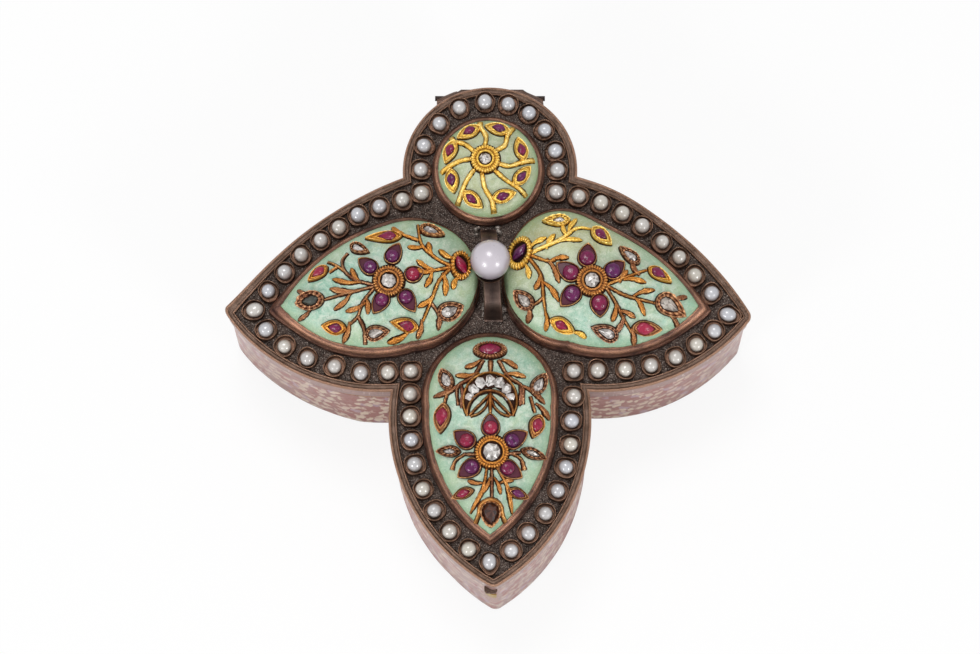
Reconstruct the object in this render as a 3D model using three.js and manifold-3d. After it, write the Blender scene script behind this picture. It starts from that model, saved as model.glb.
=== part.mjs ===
// Jewelled box with four lobes: a round one at the hinge and three pointed leaves.
// The lid carries seed pearl borders, enamel domes with gem-set sprays and one large pearl.
// Millimetres, +Z up. The origin is under the crossing of the lobes, on the resting face.
import * as THREE from 'three';
import { mergeVertices } from 'three/addons/utils/BufferGeometryUtils.js';
import Module from 'manifold-3d';

const wasm = await Module();
wasm.setup();

// Plan of the lid. An arc peaks at its belly, which lies so far out along the leaf's axis.
const SIDE_REACH = 46;
const SIDE_DROOP = 11.7;
const SIDE_BACK_BELLY = 4.5;
const SIDE_BACK_HALF = 18.6;
const SIDE_FRONT_BELLY = 16.3;
const SIDE_FRONT_HALF = 18.9;
const FRONT_REACH = 56;
const FRONT_BELLY = 27;
const FRONT_HALF = 17.3;
const ROUND_Y = 16.5;
const ROUND_R = 15.1;
const SIDE_ROOT = -6;
const FRONT_ROOT = 8;
const LID_POINT_R = 0.7;
const BODY_POINT_R = 2.4;

// Heights
const BASE_T = 1.2;
const BODY_H = 19.4;
const SEAM = 0.3;
const SKIRT_H = 4.1;
const PLATE_T = 1;
const LINING_T = 0.6;
const LINER_DEPTH = 6;
const LINER_RISE = 2;

// Distances in from the lid's outline
const BASE_INSET = 0.4;
const BODY_INSET = 0.55;
const WALL_T = 1.4;
const SKIRT_INSET = 0.35;
const SKIRT_T = 1;
const LINER_T = 0.6;
const FIT = 0.3;
const SEAT = 0.2;

// Rim moulding
const RIM_W = 1.45;
const RIM_H = 0.95;
const RIM_STEP_H = 0.55;
const RIM_LIP_W = 0.75;

// Seed pearl borders
const PEARL_INSET = 3.45;
const COLLET_R = 1.6;
const COLLET_H = 1.35;
const PEARL_R = 1.3;
const PEARL_RISE = 0.75;
const BAND_W = 3.1;
const BAND_T = 0.3;
const CORNER_OUT = 0.3;
const BACK_PITCH = 0.0902 * SIDE_REACH;
const FRONT_PITCH = 0.0957 * SIDE_REACH;
const LEAF_PITCH = 0.0759 * FRONT_REACH;
const ROUND_PITCH = 19.9;
const BACK_PEARLS = 8;
const FRONT_PEARLS = 6;
const LEAF_PEARLS = 9;
const ROUND_PEARLS = 12;

// Almond domes, round at the crossing and pointed outside. Each starts so far from the crossing, and
// keeps its margins to the outline of its leaf, at the point and at the bellies of the side arcs.
const SIDE_DOME_AT = 0.348 * SIDE_REACH;
const SIDE_DOME_OFF = 0.5;
const SIDE_DOME_START = 2.5;
const SIDE_TIP_MARGIN = 7.9;
const SIDE_BACK_MARGIN = 7;
const SIDE_FRONT_MARGIN = 6.7;
const SIDE_TIP = SIDE_REACH - SIDE_DOME_AT - SIDE_TIP_MARGIN;
const SIDE_END = SIDE_DOME_AT - SIDE_DOME_START;
const SIDE_ALMOND_BACK = { belly: -3, half: SIDE_BACK_HALF - SIDE_BACK_MARGIN };
const SIDE_ALMOND_FRONT = { belly: 2.5, half: SIDE_FRONT_HALF - SIDE_FRONT_MARGIN };
const FRONT_DOME_AT = 0.4554 * FRONT_REACH;
const FRONT_DOME_START = 12.1;
const FRONT_TIP_MARGIN = 6.9;
const FRONT_MARGIN = 5.65;
const FRONT_TIP = FRONT_REACH - FRONT_DOME_AT - FRONT_TIP_MARGIN;
const FRONT_END = FRONT_DOME_AT - FRONT_DOME_START;
const FRONT_ALMOND = { belly: 1.5, half: FRONT_HALF - FRONT_MARGIN };
const MEDALLION_R = 9.5;
const BEZEL_T = 0.75;
const BEZEL_H = 1.5;
const BEZEL_LEAN = 0.3;
const DOME_WALL = 1.8;
const SIDE_RISE = 5.2;
const SIDE_BULGE = 0.9;
const FRONT_RISE = 4.6;
const MEDALLION_WALL = 1.3;
const MEDALLION_RISE = 3.6;
const FULLNESS = 2.2;

// Gem-set sprays
const SPRAY_SEAT = 0.28;
const SPRAY_T = 0.55;
const STEM_W = 0.7;
const BUD_L = 2.5;
const BUD_W = 1.1;
const BUD_AT = 0.45;
const BUD_LEAN = 38;
const LEAF_GEM_R = 0.85;
const LEAF_GEM_H = 1;
const MOUNT_L = 4.4;
const MOUNT_W = 3;
const FLOWER_R = 2.75;
const FLOWER_T = 0.9;
const PETAL_L = 4.1;
const PETAL_W = 3.5;
const PETAL_ROOT = 2;
const PETAL_AT = 3.9;
const PETALS = 5;
const RUBY_R = 1;
const RUBY_H = 1.15;
const DIAMOND_R = 1.5;
const DIAMOND_H = 1.2;
const CALYX_R = 1.45;
const CALYX_SLIM = 0.62;
const CALYX_WALL = 0.7;
const CRESCENT_OUTER = 4.9;
const CRESCENT_INNER = 4.1;
const CRESCENT_SHIFT = 1.8;
const CRESCENT_FRAME = 0.35;
const CRESCENT_SHY = 0.25;
const CRESCENT_AT = -0.2;
const PINWHEEL_ARMS = 8;
const ARM_SWEEP = 29;
const ARM_EDGE = 1.3;
const ARM_GEM_R = 0.75;
const ARM_GEM_AT = 6.6;
const ARM_MOUNT_TILT = 73;
const ARM_MOUNT_L = 3.6;
const ARM_MOUNT_W = 2.2;

// Strap over the crossing and the large pearl on it
const STRAP_W = 3.1;
const STRAP_T = 0.8;
const STRAP_LEVEL = 4.4;
const STRAP_BACK = 6.1;
const STRAP_FRONT = -10.2;
const STRAP_SLOPE = 2.6;
const STRAP_FOOT = 1;
const BIG_PEARL_R = 3.45;
const CUP_R = 2.5;
const CUP_H = 1.5;
const CUP_SINK = 0.9;
const PEG_R = 0.4;
const PEG_L = 3.4;
const PEG_SIDES = 8;

// Hinge
const HINGE_Y = 31.25;
const BARREL_R = 1.3;
const BARREL_L = 18.6;
const BORE_R = 0.75;
const KNUCKLE_SIDES = 12;
const BORE_SIDES = 10;
const PIN_R = 0.45;
const PIN_END = 0.3;
const END_KNUCKLE = 3.6;
const LID_KNUCKLE = 3.7;
const KNUCKLE_GAP = 0.3;
const BEARER_BACK = 0.5;
const BEARER_CLEAR = 0.9;
const BEARER_DROP = 3.2;
const BEARER_DEPTH = 12.5;

// Catch in the front point
const WINDOW_W = 2.6;
const WINDOW_H = 3;
const CATCH_FRAME_W = 6.8;
const CATCH_FRAME_T = 2;
const CATCH_FRAME_DROP = 5;
const PUSH_H = 1.3;
const PUSH_PROUD = 0.5;
const PUSH_TRAVEL = 0.8;
const PUSH_FLANGE = 1;
const FLANGE_T = 0.6;
const TONGUE_T = 0.9;
const TONGUE_BACK = 0.5;
const LIP_W = 4.4;
const LIP_H = 0.6;
const LIP_PROUD = 0.35;
const SPRING_T = 0.35;
const SPRING_FOOT = 3;

// Facets
const ARC_STEPS = 6;
const POINT_STEPS = 2;
const ROUND_STEPS = 28;
const DOME_ARC_STEPS = 5;
const DOME_ROUND_STEPS = 8;
const STEM_STEPS = 2;
const BIG = 100;
const PEARL_SIDES = 8;
const SMALL_GEM_SIDES = 5;
const RUBY_SIDES = 6;
const GEM_SIDES = 8;
const RING_SIDES = 12;
const ARM_STEPS = 6;

// Levels that several pieces share
const SKIRT_BOTTOM = BODY_H + SEAM;
const PLATE_BOTTOM = SKIRT_BOTTOM + SKIRT_H;
const PLATE_TOP = PLATE_BOTTOM + PLATE_T;
const HINGE_Z = BODY_H + SEAM / 2;
const LINER_INSET = BODY_INSET + WALL_T + FIT;
const DEG = Math.PI / 180;

const finish = {
  bronze: new THREE.MeshStandardMaterial({ color: 0x4a3a30, roughness: 0.45, metalness: 0.9 }),
  ground: new THREE.MeshStandardMaterial({ color: 0x1d1713, roughness: 0.8, metalness: 0.5 }),
  copper: new THREE.MeshStandardMaterial({ color: 0x8a5c46, roughness: 0.35, metalness: 0.9 }),
  gilt: new THREE.MeshStandardMaterial({ color: 0xb97a35, roughness: 0.35, metalness: 0.95 }),
  gold: new THREE.MeshStandardMaterial({ color: 0xe0a72c, roughness: 0.3, metalness: 0.95 }),
  green: new THREE.MeshStandardMaterial({ color: 0x9fc9b0, roughness: 0.35, metalness: 0 }),
  pink: new THREE.MeshStandardMaterial({ color: 0xc29b96, roughness: 0.4, metalness: 0 }),
  pearl: new THREE.MeshStandardMaterial({ color: 0xd9d6dc, roughness: 0.2, metalness: 0 }),
  ruby: new THREE.MeshStandardMaterial({ color: 0x8c1c48, roughness: 0.15, metalness: 0 }),
  diamond: new THREE.MeshStandardMaterial({ color: 0xbdbab4, roughness: 0.1, metalness: 0 }),
  brass: new THREE.MeshStandardMaterial({ color: 0xb59a5a, roughness: 0.35, metalness: 0.9 }),
};

// Turning a three.js geometry into a solid for cuts and joins, and back
function solid(geometry) {
  const plain = geometry.clone();
  plain.deleteAttribute('normal');
  plain.deleteAttribute('uv');
  const merged = mergeVertices(plain, 1e-4);
  return new wasm.Manifold(new wasm.Mesh({
    numProp: 3,
    vertProperties: Float32Array.from(merged.attributes.position.array),
    triVerts: Uint32Array.from(merged.index.array),
  }));
}

function shell(body) {
  const mesh = body.getMesh();
  const geometry = new THREE.BufferGeometry();
  geometry.setAttribute('position', new THREE.BufferAttribute(Float32Array.from(mesh.vertProperties), 3));
  geometry.setIndex(Array.from(mesh.triVerts));
  geometry.computeVertexNormals();
  return geometry;
}

const joined = (bodies) => bodies.reduce((all, body) => all.add(body));

function box(x0, x1, y0, y1, z0, z1) {
  const block = new THREE.BoxGeometry(x1 - x0, y1 - y0, z1 - z0);
  return solid(block.translate((x0 + x1) / 2, (y0 + y1) / 2, (z0 + z1) / 2));
}

function prism(points, z0, z1) {
  const slab = new THREE.ExtrudeGeometry(new THREE.Shape(points), { depth: z1 - z0, bevelEnabled: false });
  return solid(slab.translate(0, 0, z0));
}

function turned(profile, segments) {
  const points = profile.map(([r, z]) => new THREE.Vector2(r, z));
  return new THREE.LatheGeometry(points, segments).rotateX(Math.PI / 2);
}

// A rod along X
function rod(radius, x0, x1, segments) {
  const bar = new THREE.CylinderGeometry(radius, radius, x1 - x0, segments);
  return solid(bar.rotateZ(Math.PI / 2).translate((x0 + x1) / 2, HINGE_Y, HINGE_Z));
}

// Closed form through a stack of rings with equal counts of points
function loft(rings) {
  const count = rings[0].length;
  const positions = rings.flat().flatMap((p) => [p.x, p.y, p.z]);
  const index = [];
  for (let level = 0; level + 1 < rings.length; level += 1) {
    for (let i = 0; i < count; i += 1) {
      const a = level * count + i;
      const b = level * count + (i + 1) % count;
      index.push(a, b, b + count, a, b + count, a + count);
    }
  }
  [0, rings.length - 1].forEach((level) => {
    const flat = rings[level].map((p) => new THREE.Vector2(p.x, p.y));
    THREE.ShapeUtils.triangulateShape(flat, []).forEach(([a, b, c]) => {
      const face = level ? [a, b, c] : [a, c, b];
      index.push(...face.map((i) => level * count + i));
    });
  });
  const geometry = new THREE.BufferGeometry();
  geometry.setAttribute('position', new THREE.Float32BufferAttribute(positions, 3));
  geometry.setIndex(index);
  return geometry;
}

// Outline of a leaf along +X, from two arcs that meet in a rounded point
function arcOf(reach, belly, half, side) {
  const r = ((reach - belly) ** 2 + half ** 2) / (2 * half);
  return { x: belly, y: side * (half - r), r };
}

function meet(a, ra, b, rb) {
  const gap = Math.hypot(b.x - a.x, b.y - a.y);
  const along = (gap ** 2 + ra ** 2 - rb ** 2) / (2 * gap);
  const off = Math.sqrt(ra ** 2 - along ** 2);
  const ex = (b.x - a.x) / gap;
  const ey = (b.y - a.y) / gap;
  return new THREE.Vector2(a.x + along * ex + off * ey, a.y + along * ey - off * ex);
}

function leafPoints([back, front], root, inset, pointR) {
  const blunt = Math.max(pointR - inset, 0.05);
  const tip = meet(back, back.r - inset - blunt, front, front.r - inset - blunt);
  if (tip.x < 0) throw new Error('the arcs of a leaf meet on the wrong side');
  const backEnd = Math.atan2(tip.y - back.y, tip.x - back.x);
  const frontEnd = Math.atan2(tip.y - front.y, tip.x - front.x);
  const backRoot = Math.acos((root - back.x) / (back.r - inset));
  const frontRoot = -Math.acos((root - front.x) / (front.r - inset));
  const sweep = (centre, r, from, to, steps) => Array.from({ length: steps + 1 }, (_, i) => {
    const a = from + (to - from) * i / steps;
    return new THREE.Vector2(centre.x + r * Math.cos(a), centre.y + r * Math.sin(a));
  });
  return [
    ...sweep(front, front.r - inset, frontRoot, frontEnd, ARC_STEPS).slice(0, -1),
    ...sweep(tip, blunt, frontEnd, backEnd, POINT_STEPS),
    ...sweep(back, back.r - inset, backEnd, backRoot, ARC_STEPS).slice(1),
  ];
}

const sideArcs = [
  arcOf(SIDE_REACH, SIDE_BACK_BELLY, SIDE_BACK_HALF, 1),
  arcOf(SIDE_REACH, SIDE_FRONT_BELLY, SIDE_FRONT_HALF, -1),
];
const frontArcs = [
  arcOf(FRONT_REACH, FRONT_BELLY, FRONT_HALF, 1),
  arcOf(FRONT_REACH, FRONT_BELLY, FRONT_HALF, -1),
];

const spun = (points, angle) => points.map((p) => p.clone().rotateAround(new THREE.Vector2(), angle));
const mirrored = (points) => points.map((p) => new THREE.Vector2(-p.x, p.y)).reverse();

// The four closed outlines whose union is the plan, drawn in by an inset
function lobes(inset, pointR) {
  const right = spun(leafPoints(sideArcs, SIDE_ROOT, inset, pointR), -SIDE_DROOP * DEG);
  const front = spun(leafPoints(frontArcs, FRONT_ROOT, inset, pointR), -90 * DEG);
  const round = Array.from({ length: ROUND_STEPS }, (_, i) => {
    const a = i / ROUND_STEPS * 2 * Math.PI;
    return new THREE.Vector2((ROUND_R - inset) * Math.cos(a), ROUND_Y + (ROUND_R - inset) * Math.sin(a));
  });
  return [right, mirrored(right), front, round];
}

function plan(inset, z0, z1, pointR = LID_POINT_R) {
  return joined(lobes(inset, pointR).map((points) => prism(points, z0, z1)));
}

function ring(inset, wall, z0, z1, pointR) {
  return plan(inset, z0, z1, pointR).subtract(plan(inset + wall, z0 - 1, z1 + 1, pointR));
}

// Moulding that follows the plan, from a profile of insets and heights
function moulding(profile) {
  const stacks = profile.map(([inset, z]) => lobes(inset, LID_POINT_R)
    .map((points) => points.map((p) => new THREE.Vector3(p.x, p.y, z))));
  return joined([0, 1, 2, 3].map((lobe) => solid(loft(stacks.map((level) => level[lobe])))));
}

// Body
const basePlate = () => plan(BASE_INSET, 0, BASE_T, BODY_POINT_R);

const hingeOpening = (z0, z1) => box(-BARREL_L / 2 - FIT, BARREL_L / 2 + FIT, ROUND_Y, HINGE_Y + BIG, z0, z1);

const windowBottom = BODY_H - WINDOW_H;
const wallPointY = -(FRONT_REACH - BODY_INSET);

function sideWall() {
  const window = box(-WINDOW_W / 2, WINDOW_W / 2, -BIG, -FRONT_REACH + FRONT_HALF, windowBottom, BODY_H + 1);
  return ring(BODY_INSET, WALL_T, BASE_T, BODY_H, BODY_POINT_R)
    .subtract(window)
    .subtract(hingeOpening(BODY_H - BEARER_DROP - FIT, BODY_H + 1));
}

function innerLiner() {
  const slot = box(-CATCH_FRAME_W / 2 - FIT, CATCH_FRAME_W / 2 + FIT, -BIG, -FRONT_REACH + FRONT_HALF / 2,
    0, BIG);
  return ring(LINER_INSET, LINER_T, BODY_H - LINER_DEPTH, BODY_H + LINER_RISE).subtract(slot);
}

// Hinge: five knuckles in line, three on the body and two on the lid
const knuckleEdges = [
  [-BARREL_L / 2, -BARREL_L / 2 + END_KNUCKLE],
  [-BARREL_L / 2 + END_KNUCKLE + KNUCKLE_GAP, -BARREL_L / 2 + END_KNUCKLE + KNUCKLE_GAP + LID_KNUCKLE],
];
const outerKnuckle = knuckleEdges[0];
const lidKnuckle = knuckleEdges[1];
const middleKnuckle = [lidKnuckle[1] + KNUCKLE_GAP, -lidKnuckle[1] - KNUCKLE_GAP];
const opposite = ([a, b]) => [-b, -a];
const bodyKnuckles = [outerKnuckle, middleKnuckle, opposite(outerKnuckle)];
const lidKnuckles = [lidKnuckle, opposite(lidKnuckle)];

function hingeLeaf(own, others, z0, z1, innerInset) {
  const inside = new THREE.CylinderGeometry(ROUND_R - innerInset, ROUND_R - innerInset, BIG, ROUND_STEPS);
  const core = solid(inside.rotateX(Math.PI / 2).rotateZ(Math.PI / 2).translate(0, ROUND_Y, 0));
  const back = HINGE_Y + BEARER_BACK;
  const bearer = box(-BARREL_L / 2, BARREL_L / 2, back - BEARER_DEPTH, back, z0, z1).subtract(core);
  const web = HINGE_Z > z0 ? [z1 - FIT, HINGE_Z] : [HINGE_Z, z0 + FIT];
  const knuckles = own.map(([a, b]) => rod(BARREL_R, a, b, KNUCKLE_SIDES)
    .add(box(a, b, HINGE_Y - BARREL_R, back, ...web)));
  const gaps = others.map(([a, b]) => rod(BARREL_R + KNUCKLE_GAP, a - KNUCKLE_GAP, b + KNUCKLE_GAP,
    KNUCKLE_SIDES));
  return joined([bearer.subtract(joined(gaps)), ...knuckles]).subtract(rod(BORE_R, -BIG, BIG, BORE_SIDES));
}

const bodyHinge = () => hingeLeaf(bodyKnuckles, lidKnuckles, BODY_H - BEARER_DROP, HINGE_Z - BEARER_CLEAR,
  BODY_INSET + WALL_T);
const lidHinge = () => hingeLeaf(lidKnuckles, bodyKnuckles, HINGE_Z + BEARER_CLEAR, PLATE_BOTTOM,
  SKIRT_INSET + SKIRT_T);
const hingePin = () => rod(PIN_R, -BARREL_L / 2 - PIN_END, BARREL_L / 2 + PIN_END, BORE_SIDES);

// Catch: a push piece in the window of the front point, behind it a flange and a leaf spring
const frameBack = wallPointY + WALL_T + FIT + CATCH_FRAME_T;

function catchFrame() {
  const z0 = BODY_H - CATCH_FRAME_DROP;
  const bounds = box(-CATCH_FRAME_W / 2, CATCH_FRAME_W / 2, -BIG, frameBack, z0, BODY_H);
  const hole = box(-WINDOW_W / 2 - FIT, WINDOW_W / 2 + FIT, -BIG, 0, windowBottom - FIT, BODY_H + 1);
  return plan(LINER_INSET, z0, BODY_H).intersect(bounds).subtract(hole);
}

function catchPush() {
  const half = WINDOW_W / 2 - FIT;
  const z0 = windowBottom + FIT / 2;
  const stem = box(-half, half, wallPointY + PUSH_PROUD, frameBack + FIT + FLANGE_T, z0, z0 + PUSH_H);
  const flange = box(-half - PUSH_FLANGE, half + PUSH_FLANGE, frameBack + FIT, frameBack + FIT + FLANGE_T,
    z0 - PUSH_FLANGE, z0 + PUSH_H);
  return stem.add(flange);
}

function catchSpring() {
  const y = frameBack + FIT + FLANGE_T + PUSH_TRAVEL + FIT;
  const half = WINDOW_W / 2;
  const blade = box(-half, half, y, y + SPRING_T, BASE_T, windowBottom + PUSH_H);
  return blade.add(box(-half, half, y, y + SPRING_FOOT, BASE_T, BASE_T + SPRING_T));
}

const tongueHalf = WINDOW_W / 2 - FIT;
const tongueY = wallPointY + WALL_T + TONGUE_BACK;
const tongueBottom = windowBottom + FIT / 2 + PUSH_H + FIT;

const catchTongue = () => box(-tongueHalf, tongueHalf, tongueY, tongueY + TONGUE_T, tongueBottom,
  PLATE_BOTTOM);

// Lid
const lidPlate = () => plan(SKIRT_INSET, PLATE_BOTTOM, PLATE_TOP);

function lidSkirt() {
  const lip = box(-LIP_W / 2, LIP_W / 2, -FRONT_REACH - LIP_PROUD, wallPointY + SKIRT_T,
    SKIRT_BOTTOM, SKIRT_BOTTOM + LIP_H);
  const hollow = plan(SKIRT_INSET + SKIRT_T, 0, BIG);
  return ring(SKIRT_INSET, SKIRT_T, SKIRT_BOTTOM, PLATE_BOTTOM, LID_POINT_R)
    .add(lip.subtract(hollow))
    .subtract(hingeOpening(0, BIG));
}

function lidLining() {
  const inset = SKIRT_INSET + SKIRT_T + FIT;
  const slot = box(-tongueHalf - FIT, tongueHalf + FIT, -BIG, tongueY + TONGUE_T + FIT, 0, BIG);
  return plan(inset, PLATE_BOTTOM - LINING_T, PLATE_BOTTOM).subtract(slot);
}

function lidRim() {
  const z = PLATE_TOP;
  const outside = moulding([
    [SKIRT_INSET, z], [0, z + RIM_H / 3], [RIM_LIP_W / 3, z + RIM_H], [RIM_LIP_W, z + RIM_H],
    [RIM_LIP_W + 0.2, z + RIM_STEP_H], [RIM_W + 0.1, z + RIM_STEP_H],
  ]);
  return outside.subtract(plan(RIM_W, z - 1, z + BIG));
}

// Seed pearls in collets along an arc, on a band that joins them
function pearlInCollet(place) {
  const profile = [
    [0, BAND_T / 2], [COLLET_R, BAND_T / 2], [COLLET_R, COLLET_H],
    [PEARL_R * 0.7, COLLET_H + PEARL_RISE * 0.7], [0, COLLET_H + PEARL_RISE],
  ];
  const bead = turned(profile, PEARL_SIDES).rotateZ(place.turn + Math.PI / PEARL_SIDES);
  return solid(bead.translate(place.x, place.y, PLATE_TOP));
}

// The band's edges run past each pearl, square to the way from its last neighbour to its next
function gallery(places) {
  const count = places.length;
  const edgePoints = places.map((place, i) => {
    const before = places[Math.max(i - 1, 0)];
    const after = places[Math.min(i + 1, count - 1)];
    const way = new THREE.Vector2(after.x - before.x, after.y - before.y).normalize();
    const past = new THREE.Vector2(place.x, place.y);
    if (i === 0) past.addScaledVector(way, -BAND_W / 2);
    if (i === count - 1) past.addScaledVector(way, BAND_W / 2);
    const across = new THREE.Vector2(-way.y, way.x).multiplyScalar(BAND_W / 2);
    return [past.clone().add(across), past.clone().sub(across)];
  });
  const outline = [...edgePoints.map(([a]) => a).reverse(), ...edgePoints.map(([, b]) => b)];
  const band = prism(outline, PLATE_TOP, PLATE_TOP + BAND_T);
  return joined([band, ...places.map(pearlInCollet)]);
}

// Places counted from the point of a leaf along one of its arcs
function arcPlaces(arcs, side, count, pitch) {
  const [back, front] = arcs;
  const tip = meet(back, back.r - PEARL_INSET, front, front.r - PEARL_INSET);
  const arc = side > 0 ? back : front;
  const r = arc.r - PEARL_INSET;
  const start = Math.atan2(tip.y - arc.y, tip.x - arc.x);
  return Array.from({ length: count + 1 }, (_, i) => {
    const a = start + side * i * pitch / r;
    const out = r + (i === LEAF_PEARLS ? CORNER_OUT : 0);
    return { x: arc.x + out * Math.cos(a), y: arc.y + out * Math.sin(a), turn: a };
  });
}

function placed(places, angle) {
  return places.map(({ x, y, turn }) => {
    const p = new THREE.Vector2(x, y).rotateAround(new THREE.Vector2(), angle);
    return { x: p.x, y: p.y, turn: turn + angle };
  });
}

const leafPlaces = (arcs, backCount, backPitch, frontCount, frontPitch, angle) => placed([
  ...arcPlaces(arcs, 1, backCount, backPitch).reverse(),
  ...arcPlaces(arcs, -1, frontCount, frontPitch).slice(1),
], angle);

const rightPlaces = leafPlaces(sideArcs, BACK_PEARLS, BACK_PITCH, FRONT_PEARLS, FRONT_PITCH,
  -SIDE_DROOP * DEG);
const leftPlaces = rightPlaces.map(({ x, y, turn }) => ({ x: -x, y, turn: Math.PI - turn }));
const frontPlaces = leafPlaces(frontArcs, LEAF_PEARLS, LEAF_PITCH, LEAF_PEARLS, LEAF_PITCH, -90 * DEG);
const roundPlaces = Array.from({ length: ROUND_PEARLS }, (_, i) => {
  const a = (90 + (i - (ROUND_PEARLS - 1) / 2) * ROUND_PITCH) * DEG;
  const r = ROUND_R - PEARL_INSET;
  return { x: r * Math.cos(a), y: ROUND_Y + r * Math.sin(a), turn: a };
});

// An almond about its place on the axis: a round end behind, and two side arcs that meet in a
// point ahead. The left arc is the one on +Y.
function almond(tip, end, left, right) {
  const sideArc = ({ belly, half }, hand) => {
    const r = ((tip - belly) ** 2 + half ** 2) / (2 * half);
    return { x: belly, y: hand * (half - r), r };
  };
  const arcs = [sideArc(left, 1), sideArc(right, -1)];
  const widths = arcs.map((arc) => Math.sqrt(arc.r ** 2 - arc.x ** 2) - Math.abs(arc.y));
  const mean = (widths[0] + widths[1]) / 2;
  return { tip, arcs, widths, back: (end ** 2 - mean ** 2) / (2 * end) };
}

// Distance from that place to the outline, drawn in by an inset
function edge(form, angle, inset = 0) {
  const [c, s] = [Math.cos(angle), Math.sin(angle)];
  if (c < 0) {
    const share = (1 + s) / 2;
    const width = form.widths[0] * share + form.widths[1] * (1 - share);
    const r = Math.hypot(width, form.back) - inset;
    return -form.back * c + Math.sqrt(r ** 2 - (form.back * s) ** 2);
  }
  const arc = form.arcs[s < 0 ? 1 : 0];
  const along = arc.x * c + arc.y * s;
  return along + Math.sqrt(along ** 2 - arc.x ** 2 - arc.y ** 2 + (arc.r - inset) ** 2);
}

function almondAngles(form) {
  const along = ({ x, y, r }, hand) => Array.from({ length: DOME_ARC_STEPS }, (_, i) => {
    const from = Math.atan2(-y, form.tip - x);
    const to = Math.atan2(hand * Math.sqrt(r ** 2 - x ** 2), -x);
    const a = from + (to - from) * i / DOME_ARC_STEPS;
    return Math.atan2(y + r * Math.sin(a), x + r * Math.cos(a));
  });
  const half = Math.PI / DOME_ROUND_STEPS;
  const round = Array.from({ length: DOME_ROUND_STEPS + 1 }, (_, i) => Math.PI / 2 + i * half);
  const [left, right] = form.arcs;
  return [...along(left, 1), ...round, ...along(right, -1).slice(1).reverse().map((a) => a + 2 * Math.PI)];
}

function almondRing(form, inset, z) {
  return almondAngles(form).map((a) => {
    const r = edge(form, a, inset);
    return new THREE.Vector3(r * Math.cos(a), r * Math.sin(a), z);
  });
}

function bezel(form) {
  const outside = solid(loft([
    almondRing(form, 0, 0), almondRing(form, 0, BEZEL_H / 2), almondRing(form, BEZEL_LEAN, BEZEL_H),
  ]));
  return outside.subtract(solid(loft([almondRing(form, BEZEL_T, -1), almondRing(form, BEZEL_T, BIG)])));
}

// A dome seated in its bezel. Its crown swells a little over the bezel at the round end.
function domeOf(form, wall, rise, bulge) {
  const inset = BEZEL_T + SEAT;
  return { form, inset, wall, rise, bulge };
}

function domePoint(dome, angle, k) {
  const lift = (1 - k ** FULLNESS) ** (1 / FULLNESS);
  const lean = dome.bulge * Math.max(0, -Math.cos(angle)) ** 2 * Math.sin(Math.PI * lift ** 0.6);
  const r = edge(dome.form, angle, dome.inset) * k + lean;
  return new THREE.Vector3(r * Math.cos(angle), r * Math.sin(angle), dome.wall + dome.rise * lift);
}

function domeSolid(dome) {
  const angles = almondAngles(dome.form);
  const levels = [1, 0.95, 0.84, 0.62, 0.3];
  const rings = levels.map((k) => angles.map((a) => domePoint(dome, a, k)));
  return loft([rings[0].map((p) => p.clone().setZ(0)), ...rings]);
}

// Flat work, drawn over the belly, is bent onto the crown of its dome
function onDome(body, dome, gap) {
  const at = (x, y) => {
    const angle = Math.atan2(y, x);
    const k = Math.min(Math.hypot(x, y) / edge(dome.form, angle, dome.inset), 0.985);
    return domePoint(dome, angle, k);
  };
  const geometry = shell(body);
  const position = geometry.attributes.position;
  const step = 0.01;
  for (let i = 0; i < position.count; i += 1) {
    const [x, y, t] = [position.getX(i), position.getY(i), position.getZ(i)];
    const p = at(x, y);
    const normal = at(x + step, y).sub(p).cross(at(x, y + step).sub(p)).normalize();
    p.addScaledVector(normal, gap + t);
    position.setXYZ(i, p.x, p.y, p.z);
  }
  geometry.computeVertexNormals();
  return geometry;
}

// Parts of a spray, flat
function bud(x, y, turn, length, width, steps = 2) {
  const shape = new THREE.Shape();
  shape.moveTo(0, 0);
  shape.quadraticCurveTo(length * 0.45, -width, length, 0);
  shape.quadraticCurveTo(length * 0.45, width, 0, 0);
  const outline = spun(shape.getPoints(steps).slice(0, -1), turn);
  return prism(outline.map((p) => p.add(new THREE.Vector2(x, y))), 0, SPRAY_T);
}

function ribbon(curve, width, steps) {
  const left = [];
  const right = [];
  for (let i = 0; i <= steps; i += 1) {
    const p = curve.getPoint(i / steps);
    const t = curve.getTangent(i / steps);
    left.push(new THREE.Vector2(p.x - t.y * width / 2, p.y + t.x * width / 2));
    right.push(new THREE.Vector2(p.x + t.y * width / 2, p.y - t.x * width / 2));
  }
  return prism([...right, ...left.reverse()], 0, SPRAY_T);
}

function disc(x, y, r, z1, segments, slim = 1) {
  const points = Array.from({ length: segments }, (_, i) => {
    const a = (i + 0.5) / segments * 2 * Math.PI;
    return new THREE.Vector2(x + slim * r * Math.cos(a), y + r * Math.sin(a));
  });
  return prism(points, 0, z1);
}

// A stem from a root to a pointed mount with a small gem, with a bud on the way
function gemStem(root, [x, y, bend, turn]) {
  const a = new THREE.Vector2(...root);
  const b = new THREE.Vector2(x, y);
  const side = new THREE.Vector2(-(b.y - a.y), b.x - a.x).multiplyScalar(bend);
  const curve = new THREE.QuadraticBezierCurve(a, a.clone().add(b).multiplyScalar(0.5).add(side), b);
  const p = curve.getPoint(BUD_AT);
  const way = curve.getTangent(BUD_AT);
  const leaf = bud(p.x, p.y, Math.atan2(way.y, way.x) + Math.sign(bend || 1) * BUD_LEAN * DEG, BUD_L, BUD_W);
  const heading = turn * DEG;
  const back = MOUNT_L * 0.45;
  const mount = bud(x - back * Math.cos(heading), y - back * Math.sin(heading), heading, MOUNT_L, MOUNT_W, 3);
  const stone = disc(x, y, LEAF_GEM_R, LEAF_GEM_H, SMALL_GEM_SIDES);
  return joined([ribbon(curve, STEM_W, STEM_STEPS), leaf, mount, stone]);
}

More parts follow.
